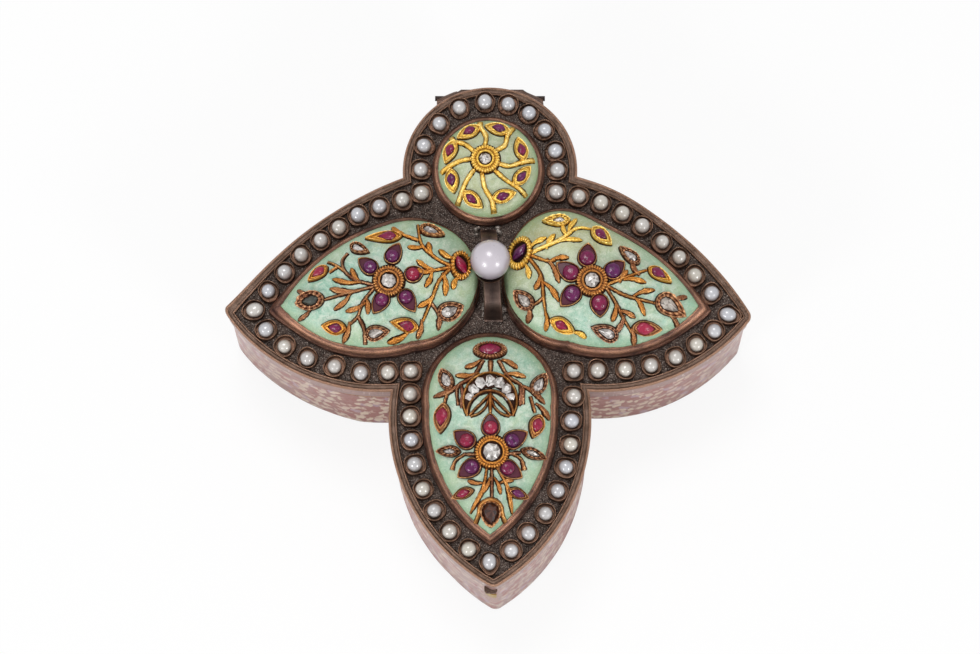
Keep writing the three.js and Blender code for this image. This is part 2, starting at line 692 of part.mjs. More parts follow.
const petalAngles = Array.from({ length: PETALS }, (_, i) => Math.PI + i * 2 * Math.PI / PETALS);
const petalPlace = ([x, y], a) => [x + PETAL_AT * Math.cos(a), y + PETAL_AT * Math.sin(a)];

function flower(centre) {
  const petals = petalAngles.map((a) => {
    const x = centre[0] + PETAL_ROOT * Math.cos(a);
    const y = centre[1] + PETAL_ROOT * Math.sin(a);
    return bud(x, y, a, PETAL_L, PETAL_W, 3);
  });
  return joined([...petals, disc(...centre, FLOWER_R, FLOWER_T, RING_SIDES)]);
}

function flowerSeats(centre) {
  const rubies = petalAngles.map((a) => disc(...petalPlace(centre, a), RUBY_R + SEAT, BIG, RUBY_SIDES));
  return joined([...rubies, disc(...centre, DIAMOND_R + SEAT, BIG, GEM_SIDES)]);
}

// A gem with a domed or rose-cut top, standing on the flat
function gem(x, y, r, h, segments, slim = 1) {
  const profile = [[0, 0], [r, 0], [r, h * 0.5], [r * 0.5, h], [0, h]];
  const cut = turned(profile, segments).rotateZ(Math.PI / segments).scale(slim, 1, 1);
  return solid(cut.translate(x, y, 0));
}

// One spray: a calyx at the round end, a flower beyond it, and stems with mounts from both
function spray({ calyx, centre, fromCalyx, fromFlower, extra = [] }) {
  const calyxRing = disc(...calyx, CALYX_R + CALYX_WALL, FLOWER_T, RING_SIDES, CALYX_SLIM + 0.12);
  const trunk = new THREE.LineCurve(new THREE.Vector2(...calyx), new THREE.Vector2(...centre));
  const work = joined([
    calyxRing,
    flower(centre),
    ribbon(trunk, STEM_W, 2),
    ...fromCalyx.map((stem) => gemStem(calyx, stem)),
    ...fromFlower.map((stem) => gemStem(centre, stem)),
    ...extra,
  ]);
  const calyxSeat = disc(...calyx, CALYX_R + SEAT, BIG, GEM_SIDES, CALYX_SLIM + 0.1);
  return work.subtract(flowerSeats(centre)).subtract(calyxSeat);
}

// Places on each dome, as shares of its length to the point: along that way, then to its left.
// A stem gives its gem's place, how far it bends, and the way its mount points.
const drawn = (length, { calyx, centre, fromCalyx, fromFlower }) => {
  const place = ([x, y]) => [x * length, y * length];
  const stem = ([x, y, bend, turn]) => [...place([x, y]), bend, turn];
  return {
    calyx: place(calyx),
    centre: place(centre),
    fromCalyx: fromCalyx.map(stem),
    fromFlower: fromFlower.map(stem),
  };
};
const rightDesign = drawn(SIDE_TIP, {
  calyx: [-0.471, 0.109],
  centre: [0.086, -0.018],
  fromCalyx: [[-0.25, 0.38, -0.15, 200], [0.063, 0.367, 0.2, -32], [-0.38, -0.258, 0.2, 138],
    [-0.077, -0.39, 0.15, -21]],
  fromFlower: [[0.344, 0.262, -0.1, 153], [0.557, 0.154, 0.1, -21], [0.7, -0.077, 0, -17],
    [0.54, -0.3, -0.1, 14], [0.276, -0.385, -0.2, 174]],
});
const leftDesign = drawn(SIDE_TIP, {
  calyx: [-0.475, 0.014],
  centre: [0.081, 0.023],
  fromCalyx: [[-0.294, -0.312, 0.15, 137], [0.005, -0.326, -0.2, -9], [-0.321, 0.308, -0.2, 200],
    [0, 0.38, -0.15, -23]],
  fromFlower: [[0.267, -0.29, 0.1, 147], [0.575, -0.154, -0.1, 24], [0.697, 0.041, 0, -5],
    [0.54, 0.276, 0.1, -23], [0.258, 0.376, 0.2, 175]],
});
const frontDesign = drawn(FRONT_TIP, {
  calyx: [-0.386, 0],
  centre: [0.36, 0],
  fromCalyx: [[-0.127, 0.339, -0.15, 155], [-0.174, -0.309, 0.15, 199], [0.157, 0.331, -0.3, -17],
    [0.089, -0.335, 0.3, -6]],
  fromFlower: [[0.36, 0.28, -0.2, 69], [0.347, -0.28, 0.2, -98], [0.64, 0.17, -0.1, 98],
    [0.64, -0.17, 0.1, -98], [0.76, 0, 0, 0]],
});

const rightForm = almond(SIDE_TIP, SIDE_END, SIDE_ALMOND_BACK, SIDE_ALMOND_FRONT);
const leftForm = almond(SIDE_TIP, SIDE_END, SIDE_ALMOND_FRONT, SIDE_ALMOND_BACK);
const disk = { belly: 0, half: MEDALLION_R };
const rightDome = domeOf(rightForm, DOME_WALL, SIDE_RISE, SIDE_BULGE);
const leftDome = domeOf(leftForm, DOME_WALL, SIDE_RISE, SIDE_BULGE);
const frontDome = domeOf(almond(FRONT_TIP, FRONT_END, FRONT_ALMOND, FRONT_ALMOND), DOME_WALL, FRONT_RISE, 0);
const medallion = domeOf(almond(MEDALLION_R, MEDALLION_R, disk, disk), MEDALLION_WALL, MEDALLION_RISE, 0);

// Crescent on the front dome, with its horns towards the point
function crescent(grow, z1) {
  const outer = disc(CRESCENT_AT, 0, CRESCENT_OUTER + grow, z1, 18);
  return outer.subtract(disc(CRESCENT_AT + CRESCENT_SHIFT, 0, CRESCENT_INNER - grow, BIG, 16));
}

// Pinwheel on the medallion: a ring, and arms that curve out of it with a gem mount between each two
function pinwheel() {
  const hub = disc(0, 0, FLOWER_R, FLOWER_T, RING_SIDES);
  const reach = MEDALLION_R - BEZEL_T - SEAT - ARM_EDGE;
  const at = (r, degrees) => new THREE.Vector2(r * Math.cos(degrees * DEG), r * Math.sin(degrees * DEG));
  const arms = Array.from({ length: PINWHEEL_ARMS }, (_, i) => {
    const a = i / PINWHEEL_ARMS * 360;
    const curve = new THREE.CubicBezierCurve(at(FLOWER_R * 0.75, a), at(reach * 0.6, a + ARM_SWEEP * 0.2),
      at(reach * 0.68, a + ARM_SWEEP * 1.2), at(reach, a + ARM_SWEEP));
    const g = at(ARM_GEM_AT, a);
    const heading = a + ARM_MOUNT_TILT;
    const root = g.clone().sub(at(ARM_MOUNT_L / 2, heading));
    const mount = bud(root.x, root.y, heading * DEG, ARM_MOUNT_L, ARM_MOUNT_W);
    const stone = disc(g.x, g.y, ARM_GEM_R, LEAF_GEM_H, SMALL_GEM_SIDES);
    return joined([ribbon(curve, STEM_W, ARM_STEPS), mount, stone]);
  });
  return joined([hub, ...arms]).subtract(disc(0, 0, DIAMOND_R + SEAT, BIG, GEM_SIDES));
}

// Strap over the crossing, with the cup, peg and pearl that it carries
function strap() {
  const under = [
    [STRAP_BACK, 0], [STRAP_BACK - STRAP_FOOT, 0], [STRAP_BACK - STRAP_SLOPE, STRAP_LEVEL],
    [STRAP_FRONT + STRAP_SLOPE, STRAP_LEVEL], [STRAP_FRONT + STRAP_FOOT, 0], [STRAP_FRONT, 0],
  ].map(([y, z]) => new THREE.Vector2(y, z));
  const normals = under.slice(1).map((p, i) => {
    const way = p.clone().sub(under[i]).normalize();
    return new THREE.Vector2(way.y, -way.x);
  });
  const over = under.map((p, i) => {
    const before = normals[Math.max(i - 1, 0)];
    const middle = before.clone().add(normals[Math.min(i, normals.length - 1)]).normalize();
    return p.clone().addScaledVector(middle, STRAP_T / middle.dot(before));
  });
  const side = new THREE.Shape([...under, ...over.reverse()]);
  const bar = new THREE.ExtrudeGeometry(side, { depth: STRAP_W, bevelEnabled: false });
  const body = solid(bar.rotateX(Math.PI / 2).rotateZ(Math.PI / 2).translate(-STRAP_W / 2, 0, PLATE_TOP));
  return body.subtract(pegBore(BIG).translate(0, pearlY, PLATE_TOP + BIG / 2 + 1));
}

const pearlY = (STRAP_BACK + STRAP_FRONT) / 2;
const cupZ = PLATE_TOP + STRAP_LEVEL + STRAP_T;
const bigPearlZ = cupZ + CUP_SINK + BIG_PEARL_R;

// A hole around the peg, about its middle
const pegBore = (length) => solid(new THREE.CylinderGeometry(PEG_R + SEAT, PEG_R + SEAT, length, PEG_SIDES)
  .rotateX(Math.PI / 2));

function pearlCup() {
  const bowl = solid(turned([[0, 0], [CUP_R * 0.6, 0], [CUP_R, CUP_H], [0, CUP_H]], 12));
  const hollow = solid(new THREE.SphereGeometry(BIG_PEARL_R + 2 * SEAT, 12, 8).rotateX(Math.PI / 2)
    .translate(0, 0, bigPearlZ - cupZ));
  return bowl.subtract(hollow).subtract(pegBore(BIG));
}

const pearlPeg = () => new THREE.CylinderGeometry(PEG_R, PEG_R, PEG_L, PEG_SIDES).rotateX(Math.PI / 2)
  .translate(0, 0, PEG_L / 2 - STRAP_T);

function bigPearl() {
  const ball = solid(new THREE.SphereGeometry(BIG_PEARL_R, 14, 8).rotateX(Math.PI / 2));
  const length = BIG_PEARL_R + PEG_L;
  const top = PEG_L - STRAP_T + SEAT + cupZ - bigPearlZ;
  return ball.subtract(pegBore(length).translate(0, 0, top - length / 2));
}

// Assembly
const jewelledBox = new THREE.Group();

function add(name, form, material, parent = jewelledBox) {
  const mesh = new THREE.Mesh(form.isBufferGeometry ? form : shell(form), material.clone());
  mesh.name = name;
  parent.add(mesh);
  return mesh;
}

add('base_plate', basePlate(), finish.bronze);
add('side_wall', sideWall(), finish.pink);
add('inner_liner', innerLiner(), finish.copper);
add('hinge_body_leaf', bodyHinge(), finish.bronze);
add('hinge_pin', hingePin(), finish.brass);
add('catch_frame', catchFrame(), finish.brass);
add('catch_push', catchPush(), finish.brass);
add('catch_spring', catchSpring(), finish.brass);

add('lid_plate', lidPlate(), finish.ground);
add('lid_skirt', lidSkirt(), finish.pink);
add('lid_lining', lidLining(), finish.copper);
add('lid_rim', lidRim(), finish.bronze);
add('hinge_lid_leaf', lidHinge(), finish.bronze);
add('catch_tongue', catchTongue(), finish.brass);
add('pearls_round', gallery(roundPlaces), finish.pearl);
add('pearls_left', gallery(leftPlaces), finish.pearl);
add('pearls_right', gallery(rightPlaces), finish.pearl);
add('pearls_front', gallery(frontPlaces), finish.pearl);

// A dome's group stands on the lid plate, turned so that its point faces out
function domeGroup(angle, distance, off = 0) {
  const group = new THREE.Group();
  group.position.set(distance, off, PLATE_TOP).applyAxisAngle(new THREE.Vector3(0, 0, 1), angle);
  group.rotation.z = angle;
  jewelledBox.add(group);
  return group;
}

function dressedDome(side, angle, [distance, off], dome, design) {
  const group = domeGroup(angle, distance, off);
  const [cx, cy] = design.calyx;
  const addOnDome = (name, body, material) => add(name, onDome(body, dome, SPRAY_SEAT), material, group);
  add(`bezel_${side}`, bezel(dome.form), finish.copper, group);
  add(`dome_${side}`, domeSolid(dome), finish.green, group);
  addOnDome(`spray_${side}`, spray(design), finish.gilt);
  addOnDome(`calyx_ruby_${side}`, gem(cx, cy, CALYX_R, RUBY_H, GEM_SIDES, CALYX_SLIM), finish.ruby);
  addOnDome(`flower_diamond_${side}`, gem(...design.centre, DIAMOND_R, DIAMOND_H, GEM_SIDES), finish.diamond);
  petalAngles.forEach((a, i) => {
    const ruby = gem(...petalPlace(design.centre, a), RUBY_R, RUBY_H, RUBY_SIDES);
    addOnDome(`petal_ruby_${side}_${i + 1}`, ruby, finish.ruby);
  });
  return group;
}

dressedDome('left', Math.PI + SIDE_DROOP * DEG, [SIDE_DOME_AT, SIDE_DOME_OFF], leftDome, leftDesign);
dressedDome('right', -SIDE_DROOP * DEG, [SIDE_DOME_AT, -SIDE_DOME_OFF], rightDome, rightDesign);
const frontGroup = dressedDome('front', -90 * DEG, [FRONT_DOME_AT, 0], frontDome, {
  ...frontDesign,
  extra: [crescent(CRESCENT_FRAME, SPRAY_T)],
});
const crescentSeat = SPRAY_SEAT + SPRAY_T + SEAT;
const crescentForm = crescent(-CRESCENT_SHY, SPRAY_T);
add('crescent', onDome(crescentForm, frontDome, crescentSeat), finish.diamond, frontGroup);

const roundGroup = domeGroup(90 * DEG, ROUND_Y);
add('bezel_round', bezel(medallion.form), finish.copper, roundGroup);
add('dome_round', domeSolid(medallion), finish.green, roundGroup);
add('pinwheel', onDome(pinwheel(), medallion, SPRAY_SEAT), finish.gold, roundGroup);
const hubGem = gem(0, 0, DIAMOND_R, DIAMOND_H, GEM_SIDES);
add('flower_diamond_round', onDome(hubGem, medallion, SPRAY_SEAT), finish.diamond, roundGroup);

add('bridge_strap', strap(), finish.bronze);
add('pearl_cup', pearlCup(), finish.bronze).position.set(0, pearlY, cupZ);
add('pearl_peg', pearlPeg(), finish.brass).position.set(0, pearlY, cupZ);
add('centre_pearl', bigPearl(), finish.pearl).position.set(0, pearlY, bigPearlZ);

export default jewelledBox;
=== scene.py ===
"""Looks of a jewelled box with four lobes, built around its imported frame. Lengths here are in mm."""

import random
from math import atan2, cos, dist, exp, hypot, pi, radians, remainder, sin, sqrt

import bmesh
import bpy
import numpy as np
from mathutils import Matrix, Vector, noise


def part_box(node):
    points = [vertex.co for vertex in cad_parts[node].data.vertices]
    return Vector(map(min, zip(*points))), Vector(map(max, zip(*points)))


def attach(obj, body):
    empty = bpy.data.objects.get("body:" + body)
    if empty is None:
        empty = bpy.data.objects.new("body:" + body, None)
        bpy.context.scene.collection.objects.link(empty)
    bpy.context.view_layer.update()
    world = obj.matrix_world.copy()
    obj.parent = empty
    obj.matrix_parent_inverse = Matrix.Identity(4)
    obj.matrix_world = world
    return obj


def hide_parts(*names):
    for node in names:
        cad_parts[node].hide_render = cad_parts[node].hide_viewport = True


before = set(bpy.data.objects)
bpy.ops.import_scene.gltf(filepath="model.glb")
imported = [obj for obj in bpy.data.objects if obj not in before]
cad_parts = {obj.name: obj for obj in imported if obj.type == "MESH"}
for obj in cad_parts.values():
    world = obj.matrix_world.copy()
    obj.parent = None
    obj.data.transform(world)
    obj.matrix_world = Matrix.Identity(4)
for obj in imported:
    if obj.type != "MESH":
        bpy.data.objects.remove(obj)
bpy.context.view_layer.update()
chance = random.Random(7)
MM = 0.001


def low(node):
    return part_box(node)[0] / MM


def high(node):
    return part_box(node)[1] / MM


# Levels and places taken from the frame
BODY_TOP = high("side_wall").z
SKIRT_BOTTOM = low("lid_skirt").z
PLATE_BOTTOM, PLATE_TOP = low("lid_plate").z, high("lid_plate").z
BASE_TOP = high("base_plate").z
HINGE = (low("hinge_pin") + high("hinge_pin")) / 2

# Plan of the lid, as in the frame
SIDE_REACH, SIDE_DROOP = 46, radians(11.7)
SIDE_BACK, SIDE_FRONT = (4.5, 18.6), (16.3, 18.9)
FRONT_REACH, FRONT_LEAF = 56, (27, 17.3)
ROUND_Y, ROUND_R = 16.5, 15.1
LID_POINT, BODY_POINT = 1.5, 2.3

# Domes
ALMOND_BACK, ALMOND_FRONT, ALMOND_LONG = (-3, 11.6), (2.5, 12.2), (1.5, 11.65)
MEDALLION_R = 9.75
DOME_INSET, FULLNESS = 0.95, 2.2


# Node materials
def srgb(code):
    channels = [int(code[i:i + 2], 16) / 255 for i in (0, 2, 4)]
    linear = [c / 12.92 if c <= 0.04045 else ((c + 0.055) / 1.055) ** 2.4 for c in channels]
    return (*linear, 1.0)


class Nodes:
    def __init__(self, tree):
        self.tree = tree

    def node(self, kind, output=0, inputs=(), **settings):
        """Adds a node with its settings and inputs, and gives one output"""
        made = self.tree.nodes.new("ShaderNode" + kind)
        for key, value in settings.items():
            setattr(made, key, value)
        for key, value in dict(inputs).items():
            self.feed(made.inputs[key], value)
        return made.outputs[output]

    def feed(self, socket, value):
        if isinstance(value, bpy.types.NodeSocket):
            self.tree.links.new(value, socket)
        else:
            socket.default_value = srgb(value) if isinstance(value, str) else value

    def math(self, operation, a, b=0.0, clamp=False):
        return self.node("Math", 0, {0: a, 1: b}, operation=operation, use_clamp=clamp)

    def plus(self, a, b):
        return self.math("ADD", a, b)

    def minus(self, a, b, clamp=False):
        return self.math("SUBTRACT", a, b, clamp)

    def times(self, a, b, clamp=False):
        return self.math("MULTIPLY", a, b, clamp)


class Look(Nodes):
    """A procedural material. Its patterns lie in the piece's own space, with 1 for 1 mm."""

    def __init__(self, name, **sockets):
        self.material = bpy.data.materials.new(name)
        self.material.use_nodes = True
        super().__init__(self.material.node_tree)
        self.shader = self.tree.nodes["Principled BSDF"]
        for key, value in sockets.items():
            self.shader.inputs[key.replace("_", " ")].default_value = value
        self.place = self.scaled(self.node("TexCoord", "Object"), 1 / MM)
        self.marks = None

    def scaled(self, vector, by):
        return self.node("VectorMath", 0, {0: vector, "Scale": by}, operation="SCALE")

    def vector(self, operation, a, b):
        return self.node("VectorMath", 0, {0: a, 1: b}, operation=operation)

    def joined(self, x, y):
        return self.node("CombineXYZ", 0, {0: x, 1: y})

    def split(self, vector):
        return self.node("SeparateXYZ", 0, {0: vector}).node.outputs

    def noise(self, scale, detail=4.0, roughness=0.6, distortion=0.0, place=None, output="Fac"):
        return self.node("TexNoise", output, {
            "Vector": place or self.place, "Scale": scale, "Detail": detail, "Roughness": roughness,
            "Distortion": distortion})

    def cells(self, scale):
        return self.node("TexVoronoi", "Distance", {"Vector": self.place, "Scale": scale})

    def ramp(self, fac, *stops):
        """Each stop is a place and a grey level or a colour"""
        made = self.node("ValToRGB", 0, {0: fac})
        elements = made.node.color_ramp.elements
        while len(elements) < len(stops):
            elements.new(0.5)
        for element, (at, level) in zip(elements, stops):
            element.position = at
            element.color = srgb(level) if isinstance(level, str) else (level, level, level, 1)
        return made

    def mix(self, fac, a, b, blend="MIX"):
        return self.node("Mix", 2, {0: fac, 6: a, 7: b}, data_type="RGBA", blend_type=blend)

    def coats(self, colour, *coats):
        """Coats of colour, one over another. Each is a strength, two stops of a ramp if any, and its colour."""
        for strength, *stops, tone in coats:
            if stops:
                strength = self.ramp(strength, stops[:2], stops[2:])
            colour = self.mix(strength, colour, tone)
        return colour

    def bump(self, height, depth, strength=1.0, below=None):
        inputs = {"Strength": strength, "Distance": depth * MM, "Height": height}
        return self.node("Bump", 0, inputs if below is None else {**inputs, "Normal": below})

    def named(self, attribute):
        return self.split(self.node("Attribute", "Vector", attribute_name=attribute))

    def mark(self, index):
        """0 is height or wear, which gilt work shows as painted shade and highlight, and on pearls and rubies the
        place of painted shade; 1 is hue; 2 is chance, which sets each diamond facet's painted reflection. Each runs
        from 0 to 1
        """
        if self.marks is None:
            self.marks = self.named("mark")
        return self.marks[index]

    def flow(self):
        """The way round the box and the height"""
        x, y, _ = self.named("flow")
        return self.joined(x, y), y

    def finish(self, colour, rough=None, normal=None):
        """Rough is a pattern and the roughness at its stops 0.3 and 0.7"""
        self.feed(self.shader.inputs["Base Color"], colour)
        if rough is not None:
            pattern, smooth, dull = rough
            self.feed(self.shader.inputs["Roughness"], self.ramp(pattern, (0.3, smooth), (0.7, dull)))
        if normal is not None:
            self.feed(self.shader.inputs["Normal"], normal)
        return self.material


def metal(name, dark, middle, worn, grain=0.9, rough=(0.34, 0.6), pits=0.05):
    """Old metal: dark in its hollows, worn bright on its ridges where mark 0 is high"""
    look = Look(name, Metallic=0.9)
    fine = look.noise(3.2 * grain, 6, 0.7)
    rubbed = look.times(look.mark(0), look.ramp(fine, (0.32, 0.25), (0.6, 1)), clamp=True)
    colour = look.coats(
        dark, (look.noise(0.35 * grain, 5, 0.65, 0.4), 0.35, 0, 0.62, 1, middle), (rubbed, worn),
        (look.noise(6.5 * grain, 3, 0.6), 0.36, 1, 0.46, 0, dark))
    return look.finish(colour, (fine, *rough), look.bump(fine, pits, 0.8))


def brushed_look():
    """Dark bronze with fine lines along the strap, worn lighter where mark 0 is high"""
    look = Look("brushed_bronze", Metallic=0.85)
    lines = look.noise(1.0, 5, 0.7, place=look.vector("MULTIPLY", look.place, (9.0, 0.7, 0.7)))
    patches = look.ramp(look.noise(0.5, 4, 0.6), (0.45, 0), (0.65, 0.6))
    colour = look.coats("211918", (lines, 0.35, 0, 0.65, 1, "433835"), (look.times(patches, 0.6), "6f6059"),
                        (look.times(look.mark(0), 0.6), "8c7266"))
    return look.finish(colour, (lines, 0.32, 0.55), look.bump(lines, 0.12, 0.8))


def gilt_look():
    """Fire-gilt work: mark 1 runs from dark copper through orange gold to bright yellow gold. Mark 0 is read as
    height: the deep colour low down is painted shade, and the pale colour on top a painted highlight
    """
    look = Look("gilt_work", Metallic=0.85)
    fine, stipple, hue = look.noise(4.5, 5, 0.7), look.cells(3.4), look.mark(1)
    deep = look.ramp(hue, (0, "2c1812"), (0.5, "572f14"), (1, "8f5c12"))
    body = look.ramp(hue, (0, "75493a"), (0.25, "96603c"), (0.5, "bd7b35"), (0.75, "d09532"), (1, "e8bd55"))
    painted_highlight = look.ramp(hue, (0, "c0947a"), (0.5, "f2b765"), (1, "ffe893"))
    height = look.plus(look.mark(0), look.times(look.minus(fine, 0.5), 0.9))
    grain = look.minus(look.ramp(stipple, (0.08, 0.9), (0.36, 0)), look.times(hue, 0.3), clamp=True)
    # Painted shade where the height is low and a painted highlight where it is high, then dark stippling
    colour = look.coats(deep, (height, 0.12, 0, 0.45, 1, body), (height, 0.6, 0, 0.95, 0.9, painted_highlight), (grain, deep))
    normal = look.bump(stipple, 0.12, 0.9, look.bump(fine, 0.08, 0.8))
    return look.finish(colour, (fine, 0.26, 0.46), normal)


def green_look():
    """Pale green enamel, mottled with cream and specked with brown, and greener where mark 0 rises"""
    look = Look("green_enamel", Roughness=0.36, Coat_Weight=0.2, Coat_Roughness=0.24)
    cloud, fine = look.noise(0.75, 6, 0.72, 0.8), look.noise(3.8, 5, 0.75)
    warm = look.times(look.mark(1), look.ramp(cloud, (0.3, 0.9), (0.65, 0.6)))
    edge = look.times(look.mark(0), look.ramp(cloud, (0.3, 0.4), (0.6, 0.9)), clamp=True)
    pits = look.ramp(look.cells(1.3), (0.04, 1), (0.11, 0))
    colour = look.coats(
        look.ramp(look.noise(0.17, 4, 0.6, 0.5), (0.34, "89b8a2"), (0.48, "9bc0ad"), (0.62, "a9c0a0")),
        (cloud, 0.46, 0, 0.62, 0.8, "cbd8ca"), (cloud, 0.32, 0.7, 0.45, 0, "789f8a"), (warm, "b2ac78"),
        (edge, "84a878"), (fine, 0.54, 0, 0.66, 0.6, "dde2d3"),
        (look.noise(2.1, 3, 0.6, 1.0), 0.28, 0.55, 0.38, 0, "7d8f7c"),
        (look.noise(5.2, 3, 0.7), 0.33, 0.6, 0.4, 0, "6f6a5a"), (look.times(pits, 0.55), "5f5546"))
    return look.finish(colour, (fine, 0.3, 0.5), look.bump(fine, 0.05, 0.6, look.bump(cloud, 0.16, 0.6)))


def pink_look():
    """Pink enamel with rows of overlapping strokes"""
    look = Look("pink_enamel", Roughness=0.38, Coat_Weight=0.12, Coat_Roughness=0.2)
    place, _ = look.flow()
    wobble = look.noise(0.45, 3, 0.6, place=place, output="Color")
    place = look.vector("ADD", place, look.scaled(wobble, 2.6))

    def strokes(long, tall, tilt, shift, share, strength):
        """Lens shapes, one in each cell of a brick grid, and some cells left out"""
        x, y, _ = look.split(look.node("Mapping", 0, {
            "Vector": place, "Rotation": (0, 0, radians(tilt)), "Location": (shift, shift * 0.7, 0)}))
        y = look.math("DIVIDE", y, tall)
        row = look.math("FLOOR", y)
        x = look.plus(look.math("DIVIDE", x, long), look.times(row, 0.37))
        column = look.math("FLOOR", x)
        across = look.minus(look.minus(x, column), 0.5)
        up = look.math("ABSOLUTE", look.minus(look.minus(y, row), 0.5))
        room = look.minus(0.42, look.times(look.times(across, across), 2.1))
        cell = look.vector("ADD", look.joined(column, row), (shift, 0, 0))
        kept = look.math("LESS_THAN", look.node("TexWhiteNoise", "Value", {"Vector": cell}), share)
        return look.times(look.times(look.ramp(look.minus(room, up), (0, 0), (0.09, 1)), kept), strength)

    cloud, fine = look.noise(0.22, 4, 0.65, 0.6, place), look.noise(2.6, 5, 0.7, place=place)
    deep = look.ramp(cloud, (0.34, "7e3b33"), (0.5, "8c473b"), (0.64, "956055"))
    cream = look.plus(look.times(look.mark(1), 0.6), 0.4)
    edge = look.times(look.mark(0), look.ramp(fine, (0.35, 0.6), (0.6, 1)), clamp=True)
    colour = look.coats(
        look.ramp(cloud, (0.34, "8c6864"), (0.5, "96746f"), (0.64, "9f857f")), (look.times(look.mark(1), 0.9), deep),
        (strokes(2.2, 4.2, 16, 3.1, 0.5, 0.8), "8d4b44"), (strokes(2.0, 3.6, -20, 8.3, 0.22, 0.8), "a48a98"),
        (strokes(1.7, 2.9, 22, 0.0, 0.55, cream), "cfc0aa"), (strokes(1.3, 2.3, -28, 5.7, 0.42, cream), "c4ad9c"),
        (strokes(1.8, 2.4, 10, 11.9, 0.3, 0.8), "8d4a43"), (fine, 0.56, 0, 0.75, 0.4, "cdb8ae"),
        (fine, 0.27, 0.5, 0.42, 0, "8a6264"), (look.times(edge, 0.7), "6a4c44"))
    return look.finish(colour, (fine, 0.28, 0.45), look.bump(fine, 0.07, 0.5))


def skirt_look():
    """The lid's edge: pale lilac pink in thin strips, with dark seams and short upright ticks"""
    look = Look("pale_pink_enamel", Roughness=0.36, Coat_Weight=0.3, Coat_Roughness=0.2)
    place, height = look.flow()
    cloud = look.noise(0.6, 4, 0.7, place=place)
    strip = look.math("FRACT", look.times(look.plus(height, look.times(cloud, 0.5)), 0.62))
    ticks = look.noise(1.0, 2, 0.5, place=look.vector("MULTIPLY", place, (2.2, 0.35, 1.0)))
    colour = look.coats(
        look.ramp(cloud, (0.34, "7c5650"), (0.5, "8f6a63"), (0.66, "a3837b")), (strip, 0, 0.9, 0.14, 0, "5c4542"),
        (ticks, 0.3, 0.8, 0.36, 0, "6d4f4c"), (ticks, 0.62, 0, 0.7, 0.7, "ddd0c4"),
        (look.times(look.mark(0), 0.8), "5a3f38"))
    return look.finish(colour, (cloud, 0.3, 0.45), look.bump(cloud, 0.08, 0.6))


def ground_look():
    """Brown granulated ground: each grain paler on its top, a painted highlight, with pale specks over it"""
    look = Look("dark_ground", Metallic=0.5)
    grains, dirt = look.cells(1.7), look.noise(1.2, 5, 0.7)
    # The paler colour at each grain's middle, where the bump raises it, is a painted highlight
    colour = look.coats("443833", (dirt, 0.35, 0, 0.7, 1, "77655c"), (grains, 0.05, 0.6, 0.28, 0, "a39287"),
                        (look.noise(5.0, 3, 0.6), 0.56, 0, 0.64, 0.9, "d5c8be"),
                        (look.noise(4.0, 3, 0.6), 0.34, 0.8, 0.42, 0, "1f1714"))
    height = look.plus(look.times(grains, -1.0), look.times(look.cells(4.2), -0.45))
    return look.finish(colour, (dirt, 0.42, 0.75), look.bump(height, 0.55))


def pearl_look(name, shade, body, light, uneven, gloss):
    """Pearl: painted shade in the shade colour low on its sides, where mark 0 is high, with a warm or a cold cast from
    mark 1
    """
    look = Look(name, Roughness=0.3, IOR=1.6, Coat_Weight=0.9, Coat_Roughness=gloss)
    cloud, cast = look.noise(0.45, 3, 0.5), look.mark(1)
    colour = look.coats(
        look.ramp(cloud, (0.5 - uneven, body), (0.5, body), (0.5 + uneven, light)), (cast, 0, 0.5, 0.5, 0, "c8c0ac"),
        (cast, 0.5, 0, 1, 0.5, "b3bac9"), (look.mark(0), 0, 0, 0.7, 0.92, shade))
    return look.finish(colour, (cloud, 0.34, 0.26))


def ruby_look():
    """Foiled rubies: mark 1 runs from purple through magenta to red and pink. Lighter patches are a painted glow
    inside the stone, and mark 0 darkens each cabochon's rim as painted shade and the petals' floors to a deep red
    """
    look = Look("ruby", Roughness=0.1, Specular_IOR_Level=0.4, Coat_Weight=0.1, Coat_Roughness=0.05)
    inner, hue = look.noise(1.5, 4, 0.65, 0.8), look.mark(1)
    body = look.ramp(hue, (0, "581250"), (0.35, "6e0a42"), (0.65, "8c0a34"), (1, "a22142"))
    deep = look.ramp(hue, (0, "2a0a2a"), (0.5, "420a20"), (1, "6a1a30"))
    glow = look.ramp(hue, (0, "8c3a86"), (0.5, "b4306a"), (1, "cc5c70"))
    # The glow patches are painted light inside the stone; the last coat darkens where mark 0 is high
    colour = look.coats(body, (inner, 0.3, 0.85, 0.52, 0, deep), (inner, 0.56, 0, 0.74, 0.4, glow),
                        (look.mark(0), deep))
    look.feed(look.shader.inputs["Roughness"], look.ramp(look.mark(0), (0.8, 0.1), (0.84, 0.6)))
    return look.finish(colour, None, look.bump(inner, 0.15, 0.5))


def diamond_look():
    """Old rose-cut diamonds over dark foil: mark 2 sets each facet's grey, a painted reflection, and mark 1 the
    stone's cast
    """
    look = Look("diamond", Roughness=0.22, Coat_Weight=0.25, Coat_Roughness=0.1)
    inner = look.minus(look.noise(2.4, 3, 0.6, 0.6), 0.5)
    # Each facet's grey, set by chance, is a painted reflection
    grey = look.ramp(look.plus(look.mark(2), look.times(inner, 0.7)),
                     (0, "77726f"), (0.3, "a5a09d"), (0.65, "c2bebb"), (0.95, "e6e3e1"))
    cast = look.ramp(look.mark(1), (0, "ffffff"), (0.5, "d9d2c8"), (0.75, "56605a"), (1, "5a3326"))
    return look.finish(look.mix(1.0, grey, cast, "MULTIPLY"))


